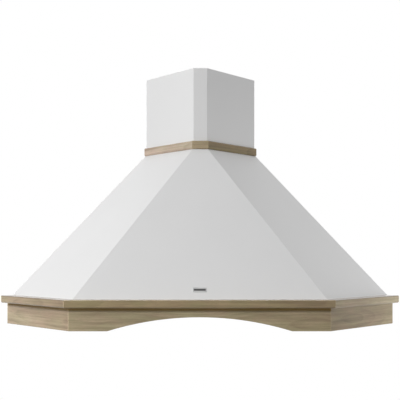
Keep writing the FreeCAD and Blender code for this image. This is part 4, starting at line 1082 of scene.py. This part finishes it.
@dataclass
class OakTrim(SubAssembly):
    """Skirt boards, crown moulding and collar, each board from its own part of a log."""

    # Each board's tint is partly its wood's own tone and partly painted light and shade, most of
    # all on the light left collar and the dark right collar.
    boards: tuple[Board, ...] = (
        # The last colour on the skirt boards is painted shade under the crown, strongest on the
        # front and none on the right.
        Board(Trim.SKIRT, Side.LEFT, (1.02, 1.00, 0.95), -0.12, soil=(0.68, 0.47, 0.18)),
        Board(Trim.SKIRT, Side.FRONT, (1.00, 1.04, 0.94), -0.17, soil=(0.44, 0.265, 0.05)),
        Board(Trim.SKIRT, Side.RIGHT, (0.73, 0.70, 0.56), 0.19),
        Board(Trim.CROWN, Side.LEFT, (0.91, 0.87, 0.80), -0.2),
        Board(Trim.CROWN, Side.FRONT, (0.75, 0.72, 0.56), -0.07),
        Board(Trim.CROWN, Side.RIGHT, (0.92, 0.92, 0.87), 0.15),
        Board(Trim.COLLAR, Side.LEFT, (1.08, 1.11, 1.27)),
        Board(Trim.COLLAR, Side.FRONT, (0.84, 0.87, 0.77)),
        Board(Trim.COLLAR, Side.RIGHT, (0.48, 0.45, 0.29)),
    )
    board_gap: float = 0.61
    pith_depth: float = 0.035
    depth_step: float = 0.011
    height_step: float = 0.012

    def oak(self, board: Board, count: int) -> Oak:
        """Oak for one board.

        Args:
            board: the board.
            count: number of boards before it, which sets the part of the log that it is from.

        Returns:
            The board's finish.
        """
        low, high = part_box(board.node)
        unturned = Matrix.Rotation(-board.side.turn, 3, "Z")
        middle = unturned @ ((low + high) / 2)
        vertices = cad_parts[board.node].data.vertices
        along = [(unturned @ vertex.co).x for vertex in vertices]
        start = self.board_gap * count
        beside = -middle.y - self.pith_depth - self.depth_step * (count % 3)
        below = -middle.z + self.height_step * (count % 2)
        return Oak(
            f"oak_{board.node}",
            side=board.side,
            tint=board.tint,
            pith=(start, beside, below),
            span=(min(along) + start, max(along) + start),
            drift=board.drift,
            stained_top=board.trim is Trim.CROWN and board.side is not Side.FRONT,
            lipped=board.trim is not Trim.COLLAR and board.side is Side.LEFT,
            soil=board.soil,
            soil_top=high.z,
        )

    def finishes(self) -> dict[str, Finish]:
        """Finish of each node that stays as it is."""
        return {board.node: self.oak(board, count) for count, board in enumerate(self.boards)}


@dataclass
class GreaseFilter(SubAssembly):
    """One grease filter: its folded frame, its pad of expanded metal and its latch."""

    side: Side
    opening_along: float = 0.014
    opening_across: float = 0.0075
    strand: float = 0.0011
    gauge: float = 0.0005
    lean: float = math.radians(38.0)
    layers: int = 3

    def finishes(self) -> dict[str, Finish]:
        """Finish of each node that stays as it is."""
        word = self.side.word
        return {f"filter_frame_{word}": FRAME_ALUMINIUM, f"filter_latch_{word}": WHITE_PLASTIC}

    @staticmethod
    def zigzag(recipe: GeometryRecipe, width: Socket, length: Socket) -> Socket:
        """Adds the nodes for one layer: rows of zigzag strands that touch at their peaks.

        Args:
            recipe: tree with the inputs Opening along, Opening across, Strand, Gauge and Lean.
            width: length of a strand.
            length: size across the strands.

        Returns:
            The layer's strands, centred on the origin.
        """
        sizes = recipe.entry.outputs
        along = recipe.math("MULTIPLY", sizes["Opening along"], 0.5)
        across = recipe.math("MULTIPLY", sizes["Opening across"], 0.5)
        steps = recipe.math("ROUND", recipe.math("DIVIDE", width, along))
        rows = recipe.math("ROUND", recipe.math("DIVIDE", length, across))
        feeds = {
            "Size X": width,
            "Size Y": length,
            "Vertices X": recipe.math("ADD", steps, 1.0),
            "Vertices Y": recipe.math("ADD", rows, 1.0),
        }
        grid = recipe.made("GeometryNodeMeshGrid", feeds)
        ends = recipe.add("GeometryNodeInputMeshEdgeVertices").outputs
        apart = recipe.vector("SUBTRACT", ends["Position 1"], ends["Position 2"])
        across_rows = recipe.math("ABSOLUTE", recipe.axes(apart)[1])
        feeds = {"Geometry": grid, "Selection": recipe.math("GREATER_THAN", across_rows, TINY)}
        strands = recipe.made(
            "GeometryNodeDeleteGeometry", feeds, domain="EDGE", mode="EDGE_FACE"
        )
        x, y, _ = recipe.axes(recipe.made("GeometryNodeInputPosition", {}))
        counts = []
        for place, size, number in ((x, width, steps), (y, length, rows)):
            share = recipe.math("ADD", recipe.math("DIVIDE", place, size), 0.5)
            counts.append(recipe.math("MULTIPLY", share, number))
        odd = recipe.math("MODULO", recipe.math("ROUND", recipe.math("ADD", *counts)), 2.0)
        swing = recipe.math("MULTIPLY", recipe.math("SUBTRACT", odd, 0.5), across)
        feeds = {"Geometry": strands, "Offset": recipe.joined(y=swing)}
        bent = recipe.made("GeometryNodeSetPosition", feeds)
        lines = recipe.made("GeometryNodeMeshToCurve", {0: bent})
        upright = recipe.made("GeometryNodeSetCurveNormal", {"Curve": lines}, mode="Z_UP")
        feeds = {"Width": sizes["Strand"], "Height": sizes["Gauge"]}
        flat = recipe.made("GeometryNodeCurvePrimitiveQuadrilateral", feeds)
        feeds = {"Geometry": flat, "Rotation": recipe.joined(z=sizes["Lean"])}
        section = recipe.made("GeometryNodeTransform", feeds)
        feeds = {"Curve": upright, "Profile Curve": section, "Fill Caps": True}
        return recipe.made("GeometryNodeCurveToMesh", feeds)

    @staticmethod
    @cache
    def pad_recipe(layers: int) -> GeometryRecipe:
        """Tree for a pad of expanded-metal layers, every second one turned by a quarter.

        Args:
            layers: number of layers.

        Returns:
            The tree.
        """
        recipe = GeometryRecipe("expanded_pad")
        for name in ("Opening along", "Opening across", "Strand", "Gauge", "Lean"):
            recipe.plug(name, Plug.NUMBER)
        width, length, lift = (
            recipe.plug(name, Plug.NUMBER) for name in ("Width", "Length", "Lift")
        )
        centre = recipe.plug("Centre", Plug.VECTOR)
        join = recipe.add("GeometryNodeJoinGeometry")
        for layer in range(layers):
            turned = layer % 2
            sizes = (length, width) if turned else (width, length)
            sheet = GreaseFilter.zigzag(recipe, *sizes)
            height = recipe.math("MULTIPLY", lift, layer - (layers - 1) / 2)
            place = recipe.vector("ADD", centre, recipe.joined(z=height))
            turn = (0.0, 0.0, QUARTER * turned)
            feeds = {"Geometry": sheet, "Translation": place, "Rotation": turn}
            recipe.feed(join.inputs[0], recipe.made("GeometryNodeTransform", feeds))
        recipe.close(join.outputs[0])
        return recipe

    def build(self) -> None:
        """Makes the pad in place of its plain sheet."""
        node = f"filter_mesh_{self.side.word}"
        low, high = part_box(node)
        size = high - low
        tall = self.strand * math.sin(self.lean) + self.gauge * math.cos(self.lean)
        values = {
            "Material": MESH_ALUMINIUM.material(),
            "Opening along": self.opening_along,
            "Opening across": self.opening_across,
            "Strand": self.strand,
            "Gauge": self.gauge,
            "Lean": self.lean,
            "Width": size.x - self.opening_across,
            "Length": size.y - self.opening_across,
            "Lift": (size.z - tall) / (self.layers - 1),
            "Centre": (low + high) / 2,
        }
        seed = bpy.data.meshes.new("pad_seed")
        piece = self.pad_recipe(self.layers).bake(f"expanded_pad_{self.side.word}", seed, values)
        place_piece(piece, f"filter_{self.side.word}", [node])


@dataclass
class ServiceStrip(SubAssembly):
    """Lamps and push buttons in the front strip of the base panel, with what lies behind them."""

    white: tuple[str, ...] = (
        "button_off", "button_low", "button_medium", "button_high", "button_light", "button_bezel",
    )

    def finishes(self) -> dict[str, Finish]:
        """Finish of each node that stays as it is.

        Returns:
            The finishes, by node.
        """
        made: dict[str, Finish] = dict.fromkeys(self.white, WHITE_PLASTIC)
        made |= {"switch_housing": BLACK_PLASTIC, "switch_board": BOARD_LAMINATE}
        for side in (Side.LEFT, Side.RIGHT):
            made[f"lamp_bezel_{side.word}"] = SATIN_CHROME
            made[f"lamp_lens_{side.word}"] = LAMP_GLASS
            made[f"lamp_body_{side.word}"] = CAST_ALUMINIUM
        return made


@dataclass
class Blower(SubAssembly):
    """Scroll housing, impeller and motor, and the outlet with its check flaps."""

    moulded: tuple[str, ...] = (
        "scroll_left", "scroll_right", "impeller", "outlet_adapter", "duct_collar",
        "flap_front", "flap_rear",
    )
    plated: tuple[str, ...] = ("motor_shaft", "flap_rod")

    def finishes(self) -> dict[str, Finish]:
        """Finish of each node that stays as it is.

        Returns:
            The finishes, by node.
        """
        made: dict[str, Finish] = dict.fromkeys(self.moulded, BLACK_PLASTIC)
        made |= dict.fromkeys(self.plated, ZINC_PLATE)
        return made | {"motor_body": CAST_ALUMINIUM, "motor_spider": ZINC_SHEET}


@dataclass
class Electrics(SubAssembly):
    """Control box with its board, and the gland that the mains cable comes in by."""

    black: tuple[str, ...] = ("control_box_tray", "control_box_cover", "cable_gland", "gland_nut")
    ribs: int = 20
    rib_sides: int = 8
    rib_radius: float = 0.0009
    rib_share: float = 0.62

    def finishes(self) -> dict[str, Finish]:
        """Finish of each node that stays as it is.

        Returns:
            The finishes, by node.
        """
        made: dict[str, Finish] = dict.fromkeys(self.black, BLACK_PLASTIC)
        made |= {"circuit_board": BOARD_LAMINATE, "terminal_block": CREAM_PLASTIC}
        return made | {"motor_capacitor": CAST_ALUMINIUM}

    @staticmethod
    def rib_recipe() -> GeometryRecipe:
        """Tree for a ring of upright ribs.

        Returns:
            The tree.
        """
        recipe = GeometryRecipe("gland_ribs")
        feeds = {
            "Vertices": recipe.plug("Count", Plug.COUNT),
            "Radius": recipe.plug("Radius", Plug.NUMBER),
        }
        ring = recipe.made("GeometryNodeMeshCircle", feeds)
        feeds = {
            "Vertices": recipe.plug("Sides", Plug.COUNT),
            "Radius": recipe.plug("Rib radius", Plug.NUMBER),
            "Depth": recipe.plug("Height", Plug.NUMBER),
        }
        rib = recipe.made("GeometryNodeMeshCylinder", feeds)
        spread = recipe.made("GeometryNodeInstanceOnPoints", {"Points": ring, "Instance": rib})
        feeds = {"Geometry": spread, "Translation": recipe.plug("Centre", Plug.VECTOR)}
        recipe.close(recipe.made("GeometryNodeTransform", feeds))
        return recipe

    def build(self) -> None:
        """Makes the finger ribs round the gland's cap."""
        low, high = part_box("cable_gland")
        plate_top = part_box("top_plate")[1].z
        tall = (high.z - plate_top) * self.rib_share
        middle = (low + high) / 2
        values = {
            "Material": BLACK_PLASTIC.material(),
            "Count": self.ribs,
            "Radius": (high.x - low.x) / 2,
            "Sides": self.rib_sides,
            "Rib radius": self.rib_radius,
            "Height": tall,
            "Centre": (middle.x, middle.y, plate_top + tall / 2),
        }
        piece = self.rib_recipe().bake("gland_ribs", bpy.data.meshes.new("rib_seed"), values)
        place_piece(piece, HOOD)


@dataclass(frozen=True)
class ScrewPlace:
    """Where one screw sits: the middle of its head's underside, and the way its head faces."""

    seat: Vector
    way: Vector


@dataclass
class CrossScrew:
    """Pan-head screw with a cross recess and a threaded shank, its head's underside at Z 0.

    The thread's radii are shares of the shank's, the recess's arms and the head's flat are shares
    of the head's radius, and heights are shares of the pitch or of the head's height.
    """

    head_radius: float
    head_height: float
    shank_radius: float
    shank_length: float
    pitch: float = 0.0012
    tip: float = 0.1
    root: float = 0.72
    root_below: float = 0.3
    neck: float = 0.8
    first_crest: float = 0.75
    crest_start: float = 0.55
    crest_gain: float = 0.25
    flat: float = 0.66
    rim: float = 0.4
    dome_steps: int = 4
    arm: float = 0.48
    arm_half: float = 0.13
    recess_floor: float = 0.42
    recess_taper: float = 0.72
    spokes: int = 24

    def recess(self, share: float, height: float) -> list[Vector]:
        """Ring of points along a cross.

        Args:
            share: size of the cross against its mouth.
            height: Z of the ring.

        Returns:
            The points in order, as many as a circle of the screw has.
        """
        points = []
        for index in range(self.spokes):
            turn = math.tau * index / self.spokes
            off_arm = abs((turn + QUARTER / 2) % QUARTER - QUARTER / 2)
            to_end = self.arm / math.cos(off_arm)
            to_flank = self.arm_half / max(math.sin(off_arm), TINY)
            radius = share * self.head_radius * min(to_end, to_flank)
            points.append(around(radius, turn, height))
        return points

    def thread(self) -> list[Span]:
        """Profile of the shank from its tip up.

        Returns:
            Radius and height of each of its rings.
        """
        profile = [(self.tip * self.shank_radius, -self.shank_length)]
        for turn in range(max(2, int(self.shank_length / self.pitch) - 1)):
            height = -self.shank_length + self.pitch * (turn + self.first_crest)
            crest = min(1.0, self.crest_start + self.crest_gain * turn)
            root = (self.root * self.shank_radius, height - self.root_below * self.pitch)
            profile += [root, (crest * self.shank_radius, height)]
        return [*profile, (self.neck * self.shank_radius, 0.0)]

    def dome(self) -> list[Span]:
        """Profile of the head from its underside up.

        Returns:
            Radius and height of each of its rings.
        """
        profile = [(self.head_radius, 0.0)]
        for step in range(self.dome_steps + 1):
            turn = QUARTER * step / self.dome_steps
            radius = self.flat + (1.0 - self.flat) * math.cos(turn)
            height = self.rim + (1.0 - self.rim) * math.sin(turn)
            profile.append((self.head_radius * radius, self.head_height * height))
        return profile

    def mesh(self) -> bpy.types.Mesh:
        """Makes the screw.

        Returns:
            A closed mesh, with its axis along Z.
        """
        profile = self.thread() + self.dome()
        rings = [circle(radius, height, self.spokes) for radius, height in profile]
        rings.append(self.recess(1.0, self.head_height))
        rings.append(self.recess(self.recess_taper, self.recess_floor * self.head_height))
        return ringed_mesh("cross_screw", rings)


@dataclass
class Fasteners(SubAssembly):
    """All the screws, each group in place of its plain solids."""

    groups: tuple[str, ...] = (
        "trim_screws", "base_panel_screws", "top_plate_screws", "blower_screws",
    )
    head_height: float = 0.002
    end_band: float = 1e-5
    seed: int = 7

    def finishes(self) -> dict[str, Finish]:
        """No plain screw stays in view."""
        return {}

    def solids(self, node: str) -> list[np.ndarray]:
        """Points of each screw in a group.

        Args:
            node: the group's node.

        Returns:
            One array of points for each screw.
        """
        form = bmesh.new()
        form.from_mesh(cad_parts[node].data)
        bmesh.ops.remove_doubles(form, verts=form.verts, dist=TINY)
        found = []
        left = set(form.verts)
        while left:
            reached = {left.pop()}
            edge = set(reached)
            while edge:
                beside = {link.other_vert(vertex) for vertex in edge for link in vertex.link_edges}
                edge = beside - reached
                reached |= edge
            left -= reached
            found.append(np.array(sorted(tuple(vertex.co) for vertex in reached)))
        form.free()
        return sorted(found, key=lambda points: tuple(points[0]))

    def measure(self, points: np.ndarray) -> tuple[ScrewPlace, CrossScrew]:
        """Place and sizes of one screw, from the points of its solid.

        Args:
            points: the solid's points.

        Returns:
            Where it sits, and a screw of its size.
        """
        middle = points.mean(axis=0)
        spread, directions = np.linalg.eigh(np.cov((points - middle).T))
        axis = directions[:, 2 if spread[2] - spread[1] > spread[1] - spread[0] else 0]
        along = (points - middle) @ axis
        off = np.linalg.norm(points - middle - np.outer(along, axis), axis=1)
        tip, head = (
            off[np.isclose(along, end, atol=self.end_band)].max()
            for end in (along.min(), along.max())
        )
        if tip > head:
            axis, along, tip, head = -axis, -along, head, tip
        seat = middle + axis * (along.max() - self.head_height)
        length = along.max() - along.min() - self.head_height
        screw = CrossScrew(float(head), self.head_height, float(tip), float(length))
        return ScrewPlace(Vector(seat), Vector(axis)), screw

    @staticmethod
    @cache
    def recipe() -> GeometryRecipe:
        """Tree that sets a screw on every point, turned by chance about its own axis.

        Returns:
            The tree.
        """
        recipe = GeometryRecipe("set_screws")
        screw = recipe.plug("Screw", Plug.OBJECT)
        seed = recipe.plug("Seed", Plug.COUNT)
        form = recipe.add("GeometryNodeObjectInfo", {"Object": screw}).outputs["Geometry"]
        feeds = {"Name": "way"}
        way = recipe.made("GeometryNodeInputNamedAttribute", feeds, data_type="FLOAT_VECTOR")
        facing = recipe.made("FunctionNodeAlignRotationToVector", {"Vector": way}, axis="Z")
        feeds = {2: 0.0, 3: QUARTER, "Seed": seed}
        turn = recipe.add("FunctionNodeRandomValue", feeds, data_type="FLOAT").outputs[1]
        feeds = {"Axis": (0.0, 0.0, 1.0), "Angle": turn}
        spin = recipe.made("FunctionNodeAxisAngleToRotation", feeds)
        feeds = {0: facing, 1: spin}
        turned = recipe.made("FunctionNodeRotateRotation", feeds, rotation_space="LOCAL")
        feeds = {"Points": recipe.seed, "Instance": form, "Rotation": turned}
        recipe.close(recipe.made("GeometryNodeInstanceOnPoints", feeds))
        return recipe

    def build(self) -> None:
        """Makes each group of screws."""
        for node in self.groups:
            measured = [self.measure(points) for points in self.solids(node)]
            master = link_object("screw_master", measured[0][1].mesh())
            seed = bpy.data.meshes.new("screw_points")
            seed.from_pydata([place.seat for place, _ in measured], [], [])
            ways = seed.attributes.new("way", "FLOAT_VECTOR", "POINT")
            ways.data.foreach_set("vector", [axis for place, _ in measured for axis in place.way])
            values = {"Material": ZINC_PLATE.material(), "Screw": master, "Seed": self.seed}
            piece = self.recipe().bake(f"{node}_cross_head", seed, values)
            bpy.data.objects.remove(master)
            place_piece(piece, HOOD, [node])


@dataclass(frozen=True)
class Softbox:
    """A round soft lamp that faces the hood.

    It stands at an azimuth and an elevation in degrees, seen from the point that it is aimed at.
    Its level is the light that a surface turned to it gets.
    """

    name: str
    azimuth: float
    elevation: float
    distance: float
    size: float
    level: float
    mirrored: bool = True
    aim: Triple = (0.0, -0.6, 0.3)

    def hang(self) -> None:
        """Makes the lamp, hidden from the camera."""
        lamp = bpy.data.lights.new(self.name, "AREA")
        lamp.shape = "DISK"
        lamp.size = self.size
        lamp.energy = self.level * (math.pi * self.distance) ** 2
        turn, tilt = math.radians(self.azimuth), math.radians(self.elevation)
        towards = around(math.cos(tilt), turn - QUARTER, math.sin(tilt))
        made = link_object(self.name, lamp)
        made.location = Vector(self.aim) + self.distance * towards
        made.rotation_euler = towards.to_track_quat("Z", "Y").to_euler()
        made.visible_camera = False
        made.visible_glossy = self.mirrored


@dataclass
class Studio:
    """Camera, lamps, white surroundings and floor.

    The focal length and the point straight ahead of the eye are in pixels of the image.
    """

    eye: Triple = (0.01, -3.23359, 0.24152)
    image: int = 400
    focal: float = 710.67
    ahead: Span = (202.81, 255.93)
    sensor: float = 36.0
    lamps: tuple[Softbox, ...] = (
        Softbox("left_softbox", -75.0, 20.0, 4.0, 1.4, 0.32),
        Softbox("front_softbox", -25.0, 25.0, 4.0, 0.6, 0.29),
        Softbox("right_softbox", 90.0, -10.0, 1.8, 0.9, 0.245, mirrored=False),
        Softbox("rear_softbox", 180.0, 40.0, 4.0, 1.6, 0.3),
        Softbox("under_softbox", 180.0, -58.0, 3.4, 1.6, 0.4, mirrored=False),
    )
    ambient: float = 0.225
    ambient_rise: float = 0.215
    floor_level: float = -3.4
    floor_radius: float = 14.0
    floor_depth: float = 0.05
    floor_points: int = 96

    def set_camera(self) -> None:
        """Makes the level camera in front of the hood."""
        lens = bpy.data.cameras.new("front_camera")
        lens.sensor_width = self.sensor
        lens.lens = self.sensor * self.focal / self.image
        lens.shift_x = 0.5 - self.ahead[0] / self.image
        lens.shift_y = self.ahead[1] / self.image - 0.5
        lens.dof.use_dof = False
        camera = link_object("front_camera", lens)
        camera.location = self.eye
        camera.rotation_euler = (QUARTER, 0.0, 0.0)
        bpy.context.scene.camera = camera

    def set_surroundings(self) -> None:
        """Makes the white surroundings, which light the hood softly and more from above."""
        world = bpy.data.worlds.new("white_studio")
        bpy.context.scene.world = world
        world.use_nodes = True
        graph = NodeGraph(world.node_tree)
        graph.tree.nodes.clear()
        height = graph.axes(graph.add("ShaderNodeTexCoord").outputs["Generated"])[2]
        level = graph.math("MULTIPLY_ADD", height, self.ambient_rise, self.ambient)
        soft, white = (
            graph.add("ShaderNodeBackground", {"Color": WHITE, "Strength": strength}).outputs[0]
            for strength in (level, 1.0)
        )
        both = graph.add("ShaderNodeMixShader", {0: graph.seen(), 1: soft, 2: white})
        graph.add("ShaderNodeOutputWorld", {"Surface": both.outputs[0]})

    def lay_floor(self) -> None:
        """Lays the pale floor, far below a hood that hangs on its walls."""
        levels = (self.floor_level - self.floor_depth, self.floor_level)
        rings = [circle(self.floor_radius, level, self.floor_points) for level in levels]
        floor = link_object("studio_floor", ringed_mesh("studio_floor", rings))
        floor.data.materials.append(FLOOR_PAINT.material())

    def set_up(self) -> None:
        """Makes everything round the hood."""
        bpy.context.scene.view_settings.view_transform = "Standard"
        self.set_camera()
        self.set_surroundings()
        self.lay_floor()
        for lamp in self.lamps:
            lamp.hang()


def main() -> None:
    """Builds and dresses the hood, one sub-assembly after the other."""
    logging.basicConfig(level=logging.INFO, format="%(name)s: %(message)s")
    Studio().set_up()
    assemblies: list[SubAssembly] = [
        SteelBody(),
        FrontPlate(),
        OakTrim(),
        GreaseFilter(Side.LEFT),
        GreaseFilter(Side.RIGHT),
        ServiceStrip(),
        Blower(),
        Electrics(),
        Fasteners(),
    ]
    for assembly in assemblies:
        assembly.build()
        assembly.dress()


if __name__ == "__main__":
    main()
